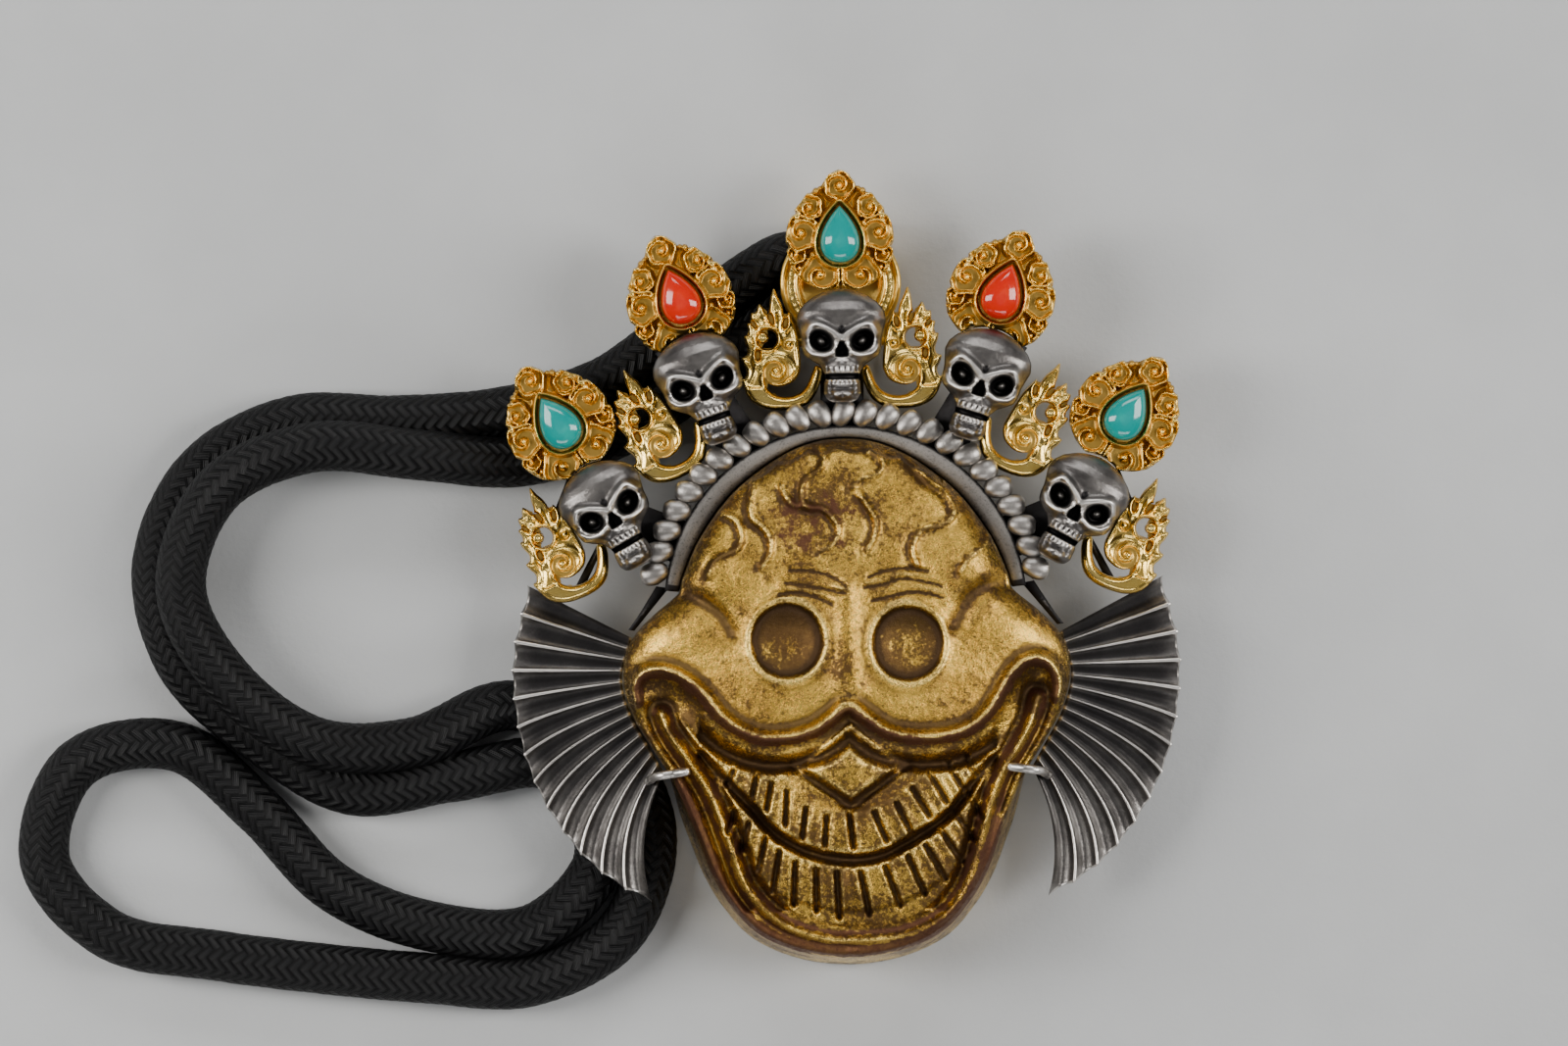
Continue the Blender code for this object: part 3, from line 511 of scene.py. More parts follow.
RIM = [
    (-16.3, -20.3), (-14.2, -25.6), (-12.0, -30.8), (-9.2, -34.3), (-5.6, -36.2), (-1.1, -37.0),
    (3.7, -36.7), (8.0, -35.3), (11.3, -32.2), (13.1, -28.4), (14.3, -24.6),
]
BITE = [
    (-14.2, -17.8), (-11.8, -20.6), (-9.7, -22.7), (-7.3, -25.4), (-4.0, -27.3), (-0.1, -28.1), (3.2, -27.7),
    (6.5, -26.0), (9.4, -24.1), (11.8, -21.3), (14.0, -18.5),
]
UPPER_GAPS = [
    (-11.1, -19.2, -11.7, -20.5), (-8.9, -19.7, -9.4, -22.0), (-7.5, -20.6, -8.0, -23.1),
    (-6.0, -21.4, -6.2, -24.6), (-4.2, -23.1, -4.6, -26.0), (-2.2, -23.9, -2.4, -26.7),
    (0.0, -23.7, 0.4, -26.9), (2.4, -23.5, 3.6, -26.3), (4.6, -22.7, 6.0, -25.6), (6.1, -21.2, 7.8, -24.0),
    (7.9, -19.9, 9.5, -22.7), (9.7, -19.1, 11.0, -21.4), (11.3, -18.3, 12.2, -19.9),
]
LOWER_GAPS = [
    (-11.1, -23.3, -11.8, -25.2), (-9.7, -24.4, -10.6, -27.1), (-8.1, -25.8, -8.9, -29.0),
    (-6.8, -27.1, -7.5, -31.1), (-5.3, -28.3, -5.5, -32.4), (-3.3, -29.0, -3.3, -33.0),
    (-1.3, -29.3, -1.1, -33.7), (1.0, -29.3, 1.8, -33.4), (3.4, -28.8, 4.8, -32.6), (5.6, -27.8, 7.2, -31.5),
    (7.3, -26.7, 9.2, -30.1), (8.9, -25.4, 10.8, -28.4), (10.3, -23.8, 12.0, -26.3),
    (11.7, -22.0, 12.8, -24.2),
]
VEINS = [
    [(-12.2, 5.6), (-11.1, 5.3), (-10.4, 4.7), (-10.0, 3.5), (-10.4, 2.2), (-11.6, 1.6), (-12.7, 0.9),
     (-13.3, -0.3)],
    [(-9.2, 9.2), (-8.8, 8.2), (-9.1, 6.6), (-8.9, 5.1), (-7.8, 4.1), (-7.2, 3.0), (-7.3, 1.6), (-8.1, 0.4)],
    [(-6.0, 8.0), (-5.3, 6.6), (-4.0, 6.0), (-2.2, 5.9), (-1.1, 4.9), (-0.6, 3.7), (-1.3, 2.4), (-2.2, 1.9)],
    [(-2.2, 12.0), (-1.9, 10.8), (-2.4, 9.7), (-3.8, 8.7), (-4.1, 7.8), (-4.0, 6.6), (-3.2, 6.0)],
    [(2.5, 11.8), (3.5, 11.1), (3.8, 10.0), (3.0, 9.1), (1.6, 8.7), (0.8, 8.0)],
    [(1.4, 7.3), (2.3, 6.0), (3.0, 4.6), (2.8, 3.2), (2.1, 2.0)],
    [(6.5, 10.8), (7.3, 9.7), (8.4, 8.5), (9.7, 7.6), (10.5, 6.3), (10.5, 5.1), (9.2, 4.1), (7.7, 3.8),
     (6.7, 2.8), (6.5, 1.6), (6.9, 0.4)],
    [(13.3, 5.4), (14.0, 4.0), (13.8, 2.5), (12.7, 1.6), (11.8, 0.9), (11.1, -0.3)],
]
WRINKLES = [
    [(-5.4, 0.0), (-3.5, -0.1), (-1.6, -0.6), (0.0, -1.5)],
    [(-5.9, -1.2), (-4.0, -1.5), (-1.6, -2.0), (0.0, -2.3)],
    [(-6.5, -2.3), (-4.4, -2.2), (-2.5, -2.8), (-1.3, -3.4)],
    [(2.2, -0.8), (4.1, -0.1), (6.0, 0.0), (8.0, -0.3)],
    [(1.8, -1.8), (3.7, -1.5), (5.6, -1.0), (8.4, -1.5), (9.2, -1.8)],
    [(2.5, -3.1), (4.1, -2.7), (6.5, -2.3), (8.4, -2.6), (9.4, -2.9)],
]
CREASES = [
    [(-16.8, -1.7), (-14.2, -2.8), (-12.3, -4.2), (-11.2, -6.0)],
    [(16.8, -1.4), (13.8, -1.8), (11.9, -3.1), (10.7, -5.4)],
]
NOSE_MIDDLE = 0.2
EDGE_ROUND = 2.5
CREASE_DEPTH = 0.75
VEIN_RISE = 0.56
WRINKLE_DEPTH = 0.4
LIP_RISE = 1.15
FOLD_RISE = 0.95
RIM_RISE = 0.7
TEETH_RISE = 0.75
BITE_DEPTH = 0.85
GAP_DEPTH = 0.62


def mask_edge():
    left = np.array(MASK_OUTLINE)[:0:-1] * [-1, 1]
    return smooth_line(np.concatenate([left, MASK_OUTLINE])[:-1], 0.5, closed=True)


def mask_ground(x, y):
    return MASK_WALL + 3.4 * np.clip(1 - (x / MASK_HALF_WIDTH) ** 2 - ((y + 9) / 30) ** 2, 0, 1)


def carve_brow(x, y, to_edge):
    """The front's smooth form with its eyes, veins and wrinkles, and how much dirt and painted shade each
    place has.
    """
    z = mask_ground(x, y) + EDGE_ROUND * rounded(to_edge, 3.0)
    z += 0.9 * bell(np.abs(x), y, 12.4, 0.4, 2.2, 3.4) + 0.5 * bell(np.abs(x), y, 16.6, -6.2, 3.0, 2.6)
    z += 0.6 * ridge(x, 1.5) * band(y, -14.5, 1, 3)
    z -= 0.22 * ridge(x - 0.1, 0.45) * ease((-8.5 - y) / 3)
    for line in CREASES:
        d = line_distance(x, y, smooth_line(line, 0.5))
        z -= CREASE_DEPTH * ridge(d, 0.85) * ease(to_edge / 0.6)
    # Brown patina over the forehead and down between the eyes, and painted shade along the rounded edge.
    dirt_and_shade = np.maximum.reduce([0.6 * bell(x, y, -1.6, 5.0, 6.5, 4.6), 0.5 * ridge(to_edge, 1.3),
                              0.7 * bell(x, y, -0.2, -11.0, 0.9, 4.2)])
    for ex, ey, rx, ry in EYES:
        r = np.hypot((x - ex) / rx, (y - ey) / ry) * rx
        bowl = ease((rx + 0.12 - r) / 0.5)
        z += 0.3 * ridge(r - rx - 0.42, 0.4) - bowl * (0.75 + 0.45 * ease((rx - r) / 2.4))
        # Grime and painted shade on each eye floor, darkest near its rim and lighter low in the bowl.
        eye_grime_and_shade = 1.2 - 0.85 * bell(x, y, ex, ey - 0.7, 2.5, 1.8) + 0.3 * ease((r - rx + 0.7) / 0.4)
        dirt_and_shade = np.maximum(dirt_and_shade, bowl * eye_grime_and_shade)
    for line in VEINS:
        curve = smooth_line(line, 0.35)
        d = line_distance(x, y, curve)
        shifted = line_distance(x + 0.5, y + 0.3, curve)
        ends = ease(np.minimum(np.hypot(x - curve[0][0], y - curve[0][1]), 9) / 0.6 + 0.4)
        z += ends * (VEIN_RISE * ridge(d, 0.38) - 0.22 * ridge(shifted, 0.45))
        # A painted shadow along one side of each vein.
        dirt_and_shade = np.maximum(dirt_and_shade, 0.8 * ends * ridge(shifted, 0.42))
    scallop = 11.6 - (x / 9.2) ** 2 * 2.9 - 0.45 * np.abs(np.sin(x * 1.05 + 0.5))
    z -= 1.1 * ease((y - scallop) / 0.5) * (np.abs(x) < 9.5)
    for line in WRINKLES:
        d = line_distance(x, y, smooth_line(line, 0.35))
        z += 0.12 * ridge(d, 0.6) - WRINKLE_DEPTH * ridge(d, 0.19)
        # Painted shade in each wrinkle.
        dirt_and_shade = np.maximum(dirt_and_shade, 0.85 * ridge(d, 0.2))
    return z, dirt_and_shade


def mask_height(x, y, edge):
    """The carved front over the floor, with how worn each place is and how much dirt and painted shade it
    has.
    """
    to_edge = line_distance(x, y, np.vstack([edge, edge[:1]]))
    z, dirt_and_shade = carve_brow(x, y, to_edge)
    lip, fold, rim, bite = (smooth_line(line, 0.5) for line in (LIP, FOLD, RIM, BITE))
    to_lip, to_fold, to_rim, to_bite = (line_distance(x, y, line) for line in (lip, fold, rim, bite))
    below_lip = inside(x, y, np.vstack([lip, [(22, -40), (-22, -40)]]))
    in_mouth = inside(x, y, np.vstack([lip, fold[::-1]]))
    z -= below_lip * 0.9 * ease(to_lip / 2.6) * ease(to_edge / 1.5)
    crest = LIP_RISE * ridge(to_lip, 0.66) - 0.14 * ridge(to_lip - 1.15, 0.4) * ~below_lip
    z += crest * ease(to_edge / 0.9)
    z += 0.35 * ridge(to_lip - 1.5, 0.55) * below_lip * (np.abs(x) < 14)
    z -= in_mouth * (0.75 * ridge(to_lip - 2.7, 0.55) * (np.abs(x) < 14.5))
    z += in_mouth * 0.35 * ease((to_lip - 2.9) / 0.9) * ease((to_fold - 0.9) / 0.9)
    teeth = ease((to_bite - 0.25) / 0.55) * ease((5.3 - to_bite) / 0.9) * ease((to_lip - 3.0) / 0.7)
    teeth *= ease((to_fold - 1.3) / 0.8) * (1 - 0.35 * ease((to_bite - 2.4) / 2.4))
    z += in_mouth * TEETH_RISE * teeth
    z -= in_mouth * BITE_DEPTH * ridge(to_bite, 0.42)
    for ax, ay, bx, by in UPPER_GAPS + LOWER_GAPS:
        d = line_distance(x, y, [(ax, ay), (bx, by)])
        z += 0.12 * ridge(d - 0.5, 0.22) - GAP_DEPTH * ridge(d, 0.24)
    z += FOLD_RISE * ridge(to_fold, 0.5) * ease(to_edge / 0.9)
    z -= 0.5 * ridge(to_fold - 1.15, 0.42) * ease(to_edge / 1.2) * (y > -33)
    z += RIM_RISE * ridge(to_rim, 0.75) * ease(to_edge / 0.5)
    across = np.abs(x - NOSE_MIDDLE) / 5.2
    kite = 1 - across - np.where(y < -18.9, (-18.9 - y) / 3.6, (y + 18.9) / 4.4)
    z += 0.4 * np.clip(kite, 0, 1) + (0.4 + 0.75 * np.clip(1 - across, 0, 1)) * ease(kite / 0.14)
    z -= 0.5 * ridge(kite + 0.13, 0.1) * (y < -18.6)
    hook = bell(np.abs(x), y, 17.8, -12.0, 2.0, 2.3) * below_lip
    z -= 0.7 * hook
    signed_lip = np.where(below_lip, to_lip, -to_lip)
    forehead = np.exp(-(((x + 2.6) / 6.0) ** 4) - ((y - 4.5) / 3.4) ** 4)
    worn = np.maximum.reduce([ridge(signed_lip - 0.38, 0.42), 0.95 * ridge(to_rim, 0.66),
                              0.62 * ridge(to_fold - 0.7, 0.4), 0.42 * forehead])
    # Grime and painted shade in the hook hollows, in the channel under the lip, through the mouth and darkest
    # along the bite.
    dirt_and_shade = np.maximum.reduce([dirt_and_shade, 0.95 * hook, 0.85 * in_mouth * ridge(to_lip - 2.75, 0.6),
                              in_mouth * np.maximum(0.42, 0.8 * ridge(to_bite, 0.5))])
    return np.minimum(z, MASK_TOP), worn, dirt_and_shade


def make_mask():
    edge = mask_edge()
    right = edge[edge[:, 0] >= 0]
    right = right[np.argsort(right[:, 1])]
    rows, columns = 286, 262
    a = np.linspace(0, 1, rows)
    (_, top), (_, foot) = MASK_OUTLINE[0], MASK_OUTLINE[-1]
    ys = foot + (top - foot) * (0.55 * a + 0.45 * (1 - np.cos(math.pi * a)) / 2)
    wide = np.interp(ys, right[:, 1], right[:, 0])
    wide[0] = wide[-1] = 0
    t = np.linspace(-1, 1, columns)
    x = wide[:, None] * (0.5 * t + 0.5 * np.sin(t * math.pi / 2))
    y = np.repeat(ys[:, None], columns, axis=1)
    z, worn, dirt_and_shade = mask_height(x, y, edge)
    z[:, [0, -1]] = z[[0, -1]] = MASK_WALL
    front = np.dstack([x, y, z]).reshape(-1, 3)
    index = np.arange(rows * columns).reshape(rows, columns)
    index[0], index[-1] = index[0, 0], index[-1, 0]
    quads = np.stack([index[:-1, :-1], index[:-1, 1:], index[1:, 1:], index[1:, :-1]], axis=-1)
    loop = np.concatenate([[index[0, 0]], index[1:-1, -1], [index[-1, 0]], index[-2:0:-1, 0]])
    around = front[loop, :2]
    inward = MASK_CENTRE - around
    inward /= np.linalg.norm(inward, axis=1)[:, None]
    flare = (1.1 * ease((-17 - around[:, 1]) / 8))[:, None]
    rim = around - inward * flare
    rings = [(around + inward * -flare * share, level)
             for share, level in ((0.02, 7.6), (0.25, 5.6), (0.55, 3.4), (0.85, 1.2), (1.0, 0.25))]
    rings += [(rim + inward * 0.2, 0.0), (rim + inward * (MASK_SHELL - 0.2), 0.0),
              (rim + inward * MASK_SHELL, 0.25), (around + inward * (MASK_SHELL + 0.3), 4.0),
              (around + inward * 1.9, MASK_WALL - MASK_SHELL)]
    for share in (0.82, 0.62, 0.42, 0.2, 0.01):
        flat = MASK_CENTRE + (around - MASK_CENTRE) * share
        rings.append((flat, mask_ground(*flat.T) - 0.4))
    verts, faces, last = [front], [quads.reshape(-1, 4)], loop
    for k, ring in enumerate(rings):
        now = len(front) + k * len(loop) + np.arange(len(loop))
        verts.append(at_level(*ring))
        faces.append(np.stack([last, now, np.roll(now, -1), np.roll(last, -1)], axis=-1))
        last = now
    extra = len(rings) * len(loop)
    tones = {"worn": np.concatenate([worn.reshape(-1), np.zeros(extra)]),
             "dirt_and_shade": np.concatenate([dirt_and_shade.reshape(-1), np.full(extra, 0.25)])}
    make_piece("carved_mask", np.vstack(verts), np.vstack(faces), GILT, ["mask"], 16, tones)


# Crown: five skulls, each under a gold plaque with a stone

SKULLS = {"center": (0.0, 21.7, 0.0), "mid": (-13.4, 17.7, 18.0), "outer": (-22.5, 5.5, 29.0)}
FINIALS = {"center": (0.0, 32.6, 0.0), "mid": (-15.8, 26.8, 20.0), "outer": (-27.8, 14.8, 33.0)}
SCROLLS = {"inner": (-6.4, 19.3, 0.0), "mid": (-17.7, 12.4, 25.0), "outer": (-27.4, 0.9, 22.0)}
SKULL_HEIGHT = 11.0
SKULL_HALF_WIDTH = 4.35
SKULL_MIDDLE = 3.05
SKULL_FLATTENING = 0.84
# A skull's half width and half depth at heights from chin to crown, and the lines of its face
SKULL_WIDTHS = [
    (-5.5, 0.9), (-5.3, 1.45), (-4.7, 1.8), (-3.6, 1.75), (-3.2, 1.6), (-2.6, 1.75), (-1.9, 2.2),
    (-1.4, 3.0), (-0.9, 3.65), (-0.2, 3.85), (0.7, 3.9), (1.5, 4.1), (2.4, 4.35), (3.3, 4.15), (4.1, 3.55),
    (4.8, 2.55), (5.25, 1.55), (5.5, 0.3),
]
SKULL_DEPTHS = [
    (-5.5, 1.5), (-5.2, 2.2), (-4.6, 2.55), (-3.7, 2.5), (-3.2, 2.2), (-2.5, 2.65), (-1.6, 2.6),
    (-0.6, 2.65), (0.6, 2.6), (1.6, 2.75), (2.6, 2.85), (3.4, 2.75), (4.2, 2.3), (4.8, 1.75), (5.25, 1.1),
    (5.5, 0.2),
]
SKULL_BROW = [(0.1, 0.85), (0.8, 1.2), (1.8, 1.78), (2.75, 1.98), (3.5, 1.2)]
SKULL_CHEEK = [(1.0, -0.7), (1.9, -1.02), (2.9, -0.85), (3.6, -0.2)]


def both_sides(places):
    """Rank, label, place and side of every piece, with the left ones mirrored to the right."""
    found = []
    for rank, (x, y, turn) in places.items():
        if rank == "center":
            found.append((rank, rank, (x, y, turn), 1))
        else:
            found.append((rank, f"{rank}_left", (x, y, turn), 1))
            found.append((rank, f"{rank}_right", (-x, y, -turn), -1))
    return found


def turned(x, y, degrees):
    t = math.radians(degrees)
    return x * math.cos(t) - y * math.sin(t), x * math.sin(t) + y * math.cos(t)


def settle(verts, place):
    """Points of a crown piece in its own frame, turned and moved to their place."""
    x, y = turned(verts[:, 0], verts[:, 1], place[2])
    return np.column_stack([place[0] + x, place[1] + y, LEVEL + verts[:, 2]])


def skull_shape():
    """A skull about its own middle, in rings from chin to crown, with how much oxide and painted shade each
    place has.
    """
    rows, front, back = 150, 84, 26
    v = np.linspace(0, 1, rows)
    v = SKULL_HEIGHT * (0.75 * v + 0.25 * (1 - np.cos(math.pi * v)) / 2) - SKULL_HEIGHT / 2
    wide, deep = (np.interp(v, *zip(*table)) for table in (SKULL_WIDTHS, SKULL_DEPTHS))
    deep *= SKULL_FLATTENING
    for line in (wide, deep):
        for _ in range(3):
            line[1:-1] = (line[:-2] + line[1:-1] + line[2:]) / 3
    angles = np.concatenate([np.linspace(0, math.pi, front, endpoint=False),
                             np.linspace(math.pi, 2 * math.pi, back, endpoint=False)])
    c, s = np.cos(angles), np.sin(angles)
    x = wide[:, None] * np.sign(c) * np.abs(c) ** 0.9
    z = deep[:, None] * np.sign(s) * np.abs(s) ** 0.85
    y = np.repeat(v[:, None], len(angles), axis=1)
    m = np.abs(x)
    facing = ease(s / 0.45)
    r = np.hypot((m - 1.98) / 1.17, (y - 0.42 - 0.18 * (m - 1.98)) / 1.08)
    ball = dome(r, 0.46)
    cut = -2.0 * ease((1.06 - r) / 0.3) + 1.0 * ball
    for line, rise, half in ((SKULL_BROW, 0.66, 0.46), (SKULL_CHEEK, 0.6, 0.44)):
        cut += rise * ridge(line_distance(m, y, smooth_line(line, 0.2)), half)
    cut -= 0.3 * bell(m, y, 0, 1.35, 0.25, 0.4) + 0.35 * bell(m, y, 3.9, 1.6, 0.5, 0.9)
    cut -= 0.9 * bell(m, y, 2.75, -1.85, 0.75, 0.45) - 0.3 * bell(m, y, 0, 0.45, 0.35, 0.6)
    nose = m / (0.12 + 0.55 * np.clip((0.45 - y) / 1.0, 0, 1) ** 0.8)
    span = band(y, -1.2, 0.45, 0.25)
    cut += span * (0.5 * bell(m, y, 0, -0.8, 0.11, 0.4) - 1.4 * ease((1 - nose) / 0.35))
    cut += 0.2 * span * ridge(nose - 1.25, 0.2) + 0.25 * bell(m, y, 0, -1.5, 0.4, 0.25)
    for low, high, pitch, rise in ((-2.75, -1.95, 0.56, 0.3), (-3.95, -3.3, 0.46, 0.22)):
        row = band(y, low, high, 0.15) * ease((1.75 - m) / 0.2)
        cut += row * (rise * np.abs(np.cos(math.pi * x / pitch)) ** 0.5 - 0.12)
    cut -= 1.5 * band(y, -3.32, -2.72, 0.14) * ease((1.75 - m) / 0.25)
    cut += 0.42 * bell(m, y, 0.62, -4.85, 0.5, 0.38) - 0.25 * bell(m, y, 0, -4.2, 1.2, 0.2)
    cut -= 0.2 * bell(m, y, 1.1, -4.3, 0.2, 0.6)
    z = SKULL_MIDDLE + np.clip(z + cut * facing, -2.9, 2.87)
    gape = band(y, -3.36, -2.7, 0.12) * ease((2.0 - m) / 0.25)
    # The back of the skull, facing the plate, takes painted shade; the sockets, nose, gaping mouth and the
    # hollow under each cheekbone take oxide and painted shade.
    behind = 0.9 * (1 - ease((s - 0.1) / 0.4))
    dirt_and_shade = np.maximum.reduce([ease((1.12 - r) / 0.25) * (0.84 - 0.2 * ball) * facing, behind + 0 * x,
                              span * ease((1.05 - nose) / 0.2), facing * gape,
                              0.8 * facing * bell(m, y, 2.8, -1.95, 0.8, 0.5)])
    verts, faces = loft(np.dstack([x, y, z])[::-1])
    return verts, faces, {"dirt_and_shade": np.concatenate([dirt_and_shade[::-1].reshape(-1), [0.2, 0.6]])}


def make_skulls():
    verts, faces, tones = skull_shape()
    for _, label, place, _ in both_sides(SKULLS):
        make_piece(f"cast_skull_{label}", settle(verts, place), faces, SILVER,
                   [f"skull_{label}"], 14, tones)


# How fine the grids of the plaques and scrolls are, and of all their backs
PLAQUE_STEP = 0.078
SCROLL_STEP = 0.07
BACK_STEP = 0.4


def sheet_of(low, high, step, field):
    """The cells of a grid inside a field, with the border points moved onto its zero line."""
    x, y = np.meshgrid(*(np.arange(a, b + step, step) for a, b in zip(low, high)), indexing="ij")
    d = field(x, y)
    keep = (d[:-1, :-1] + d[1:, :-1] + d[:-1, 1:] + d[1:, 1:]) > 0
    near = np.zeros((4, *x.shape), bool)
    near[0, :-1, :-1] = near[1, 1:, :-1] = near[2, :-1, 1:] = near[3, 1:, 1:] = keep
    used, border = near.any(axis=0), near.any(axis=0) & ~near.all(axis=0)
    gx, gy = np.gradient(d, step)
    move = np.where(border, np.clip(d / np.maximum(gx**2 + gy**2, 0.3), -0.8 * step, 0.8 * step), 0)
    x, y = x - move * gx, y - move * gy
    index = np.full(x.shape, -1)
    index[used] = np.arange(used.sum())
    corners = [index[:-1, :-1], index[1:, :-1], index[1:, 1:], index[:-1, 1:]]
    faces = np.stack([c[keep] for c in corners], axis=-1)
    padded = np.pad(keep, 1)
    edges = []
    for a, b, beyond in ((0, 1, padded[1:-1, :-2]), (1, 2, padded[2:, 1:-1]), (2, 3, padded[1:-1, 2:]),
                         (3, 0, padded[:-2, 1:-1])):
        open_side = keep & ~beyond
        edges.append(np.stack([corners[a][open_side], corners[b][open_side]], axis=-1))
    return np.column_stack([x[used], y[used]]), faces, np.concatenate(edges)


def plaque(low, high, step, field, height):
    """A flat-backed relief whose outline is a field's zero line."""
    flat, faces, edges = sheet_of(low, high, step, field)
    z, dirt_and_shade = height(*flat.T)
    ring, place = np.unique(edges, return_inverse=True)
    place = len(flat) + place.reshape(edges.shape)
    wall = np.stack([edges[:, 0], place[:, 0], place[:, 1], edges[:, 1]], axis=-1)
    plain, back, _ = sheet_of(low, high, BACK_STEP, field)
    verts = np.vstack([at_level(flat, z), at_level(flat[ring], 0), at_level(plain, 0)])
    faces = np.vstack([faces, wall, back[:, ::-1] + len(flat) + len(ring)])
    return verts, faces, {"dirt_and_shade": np.concatenate([dirt_and_shade, np.full(len(verts) - len(dirt_and_shade), 0.3)])}


def stone_outline(grow):
    """The drop of a stone, grown by so much all round."""
    t = circle(64)
    across = (1.78 + grow) / 0.784 * np.sin(t) * np.sin(t / 2) ** 0.9
    return np.column_stack([across, (2.65 + grow) * np.cos(t) - 0.1])


# Each cloud lobe of a plaque, back to front: place, radius, level, hand of its curl
LOBES = [
    (3.85, -3.3, 1.3, 1.35, 1), (4.25, -1.95, 1.05, 1.5, -1), (2.95, 2.6, 1.4, 1.45, -1),
    (3.75, 0.1, 1.85, 1.65, 1), (0.0, 4.65, 1.55, 1.65, 1), (1.95, -4.0, 2.05, 1.8, -1),
]
GRANULES = [
    (2.25, 4.15, 0.36), (2.65, 3.8, 0.26), (1.85, 4.4, 0.26), (4.15, 1.6, 0.32), (3.95, 2.0, 0.22),
    (4.3, 1.2, 0.22), (2.65, -2.0, 0.32), (5.0, -2.5, 0.26), (2.3, 1.0, 0.26), (0.0, -3.0, 0.3),
    (3.2, -5.3, 0.24),
]


def finial_radius(angle):
    a = np.abs((np.degrees(angle) + 180) % 360 - 180)
    return np.interp(a, [0, 25, 50, 100, 130, 160, 180], [6.27, 5.27, 4.87, 5.32, 5.82, 5.72, 5.47])


def lobe_rim(radius, angle):
    return radius * (1 + 0.06 * np.cos(5 * angle))


def spiral(r, angle, pitch, hand, start=0.0):
    """Distance from the nearest turn of a spiral."""
    return np.abs((r / pitch - hand * angle / (2 * math.pi) - start) % 1 - 0.5) * pitch


def finial_field(skull_x, skull_y):
    """A plaque's body, lobes, granules and tip, less the place of the skull at its foot."""
    def field(x, y):
        m = np.abs(x)
        body = finial_radius(np.arctan2(x, y)) - np.hypot(x, y)
        best = np.maximum(body - 0.7, 0.55 - np.hypot(x * 1.3, y - 5.85))
        for cx, cy, radius, *_ in LOBES:
            rim = lobe_rim(radius, np.arctan2(y - cy, m - cx))
            best = np.maximum(best, rim - np.hypot(m - cx, y - cy))
        for cx, cy, radius in GRANULES:
            best = np.maximum(best, radius - np.hypot(m - cx, y - cy))
        skull = np.hypot(x - skull_x, y - skull_y) - SKULL_HALF_WIDTH - 0.15
        return np.minimum.reduce([best, body, skull])
    return field


def finial_height(field, drop):
    """A plaque's curls and granules, and the raised rim round its stone."""
    def height(x, y):
        m = np.abs(x)
        z, dirt_and_shade = np.full(x.shape, 1.15), np.full(x.shape, 0.85)
        for cx, cy, radius, level, hand in LOBES:
            pitch, ball = 0.86 * radius, 0.16 + 0.15 * radius
            dx, dy = (x if cx == 0 else m) - cx, y - cy
            r, angle = np.hypot(dx, dy), np.arctan2(dy, dx)
            rim = lobe_rim(radius, angle)
            bright = 0.9 * ridge(spiral(r, angle, pitch, hand), 0.15) * ease((rim - 0.36 - r) / 0.12)
            bright = np.maximum(bright, ridge(rim - 0.18 - r, 0.17)) * ease((r - ball) / 0.12)
            bright = np.maximum(bright, 1.1 * dome(r, ball))
            share = ease((rim - r) / 0.1)
            z = (z - 0.3 * ridge(r - rim - 0.08, 0.12)) * (1 - share) + (level - 0.5 + 0.98 * bright) * share
            # Painted shade on the ground between the lobes and on the low floor of each, none on its raised
            # rim, curl and ball.
            dirt_and_shade = dirt_and_shade * (1 - share) + np.clip(0.72 - 1.4 * bright, 0, 1) * share
        for cx, cy, radius in GRANULES:
            ball = dome(np.hypot(m - cx, y - cy), radius)
            z = np.where(ball > 0, np.maximum(z, 1.55 + 0.5 * ball), z)
        for lean in (0.12, 0.42):
            z += 0.3 * bell(m, y, lean, -4.6, 0.09, 1.3)
        away = -signed(x, y, drop)
        z = np.where(away < 0.75, np.minimum(z, 1.5 + 0.2 * away), z)
        z = np.maximum(z, 2.45 - ((away - 0.42) / 0.2) ** 2 * 0.5 - 4 * (np.abs(away - 0.42) > 0.4))
        z = np.where(away < 0.1, 1.5, z) - 0.45 * (1 - rounded(field(x, y), 0.22))
        return np.clip(z, 0.7, 2.48), dirt_and_shade
    return height


def make_finials():
    drop = stone_outline(0.2)
    for rank, label, place, side in both_sides(FINIALS):
        skull_x, skull_y, skull_turn = SKULLS[rank]
        dx, dy = turned(0, SKULL_HEIGHT / 2 - SKULL_HALF_WIDTH, side * skull_turn)
        field = finial_field(*turned(side * skull_x + dx - place[0], skull_y + dy - place[1], -place[2]))
        verts, faces, tones = plaque((-5.9, -6.4), (5.9, 6.6), PLAQUE_STEP, field, finial_height(field, drop))
        make_piece(f"cloud_plaque_{label}", settle(verts, place), faces, GOLD,
                   [f"finial_{label}"], 8, tones)


def make_stones():
    outline = stone_outline(0.1)
    rings = [at_level(outline * 0.97, 1.7), at_level(outline, 1.9)]
    for angle in np.linspace(0, math.pi / 2, 14):
        grow = math.cos(angle) ** 0.9
        rings.append(at_level(outline * grow + [0, -0.35 * (1 - grow)], 2.35 + 1.25 * math.sin(angle)))
    verts, faces = loft(rings[::-1])
    for rank, label, place, _ in both_sides(FINIALS):
        stone, slot = (CORAL, "coral") if rank == "mid" else (TURQUOISE, "turquoise")
        make_piece(f"cabochon_{label}", settle(verts, place), faces, stone, [f"stone_{label}"])


# Gold flame scrolls

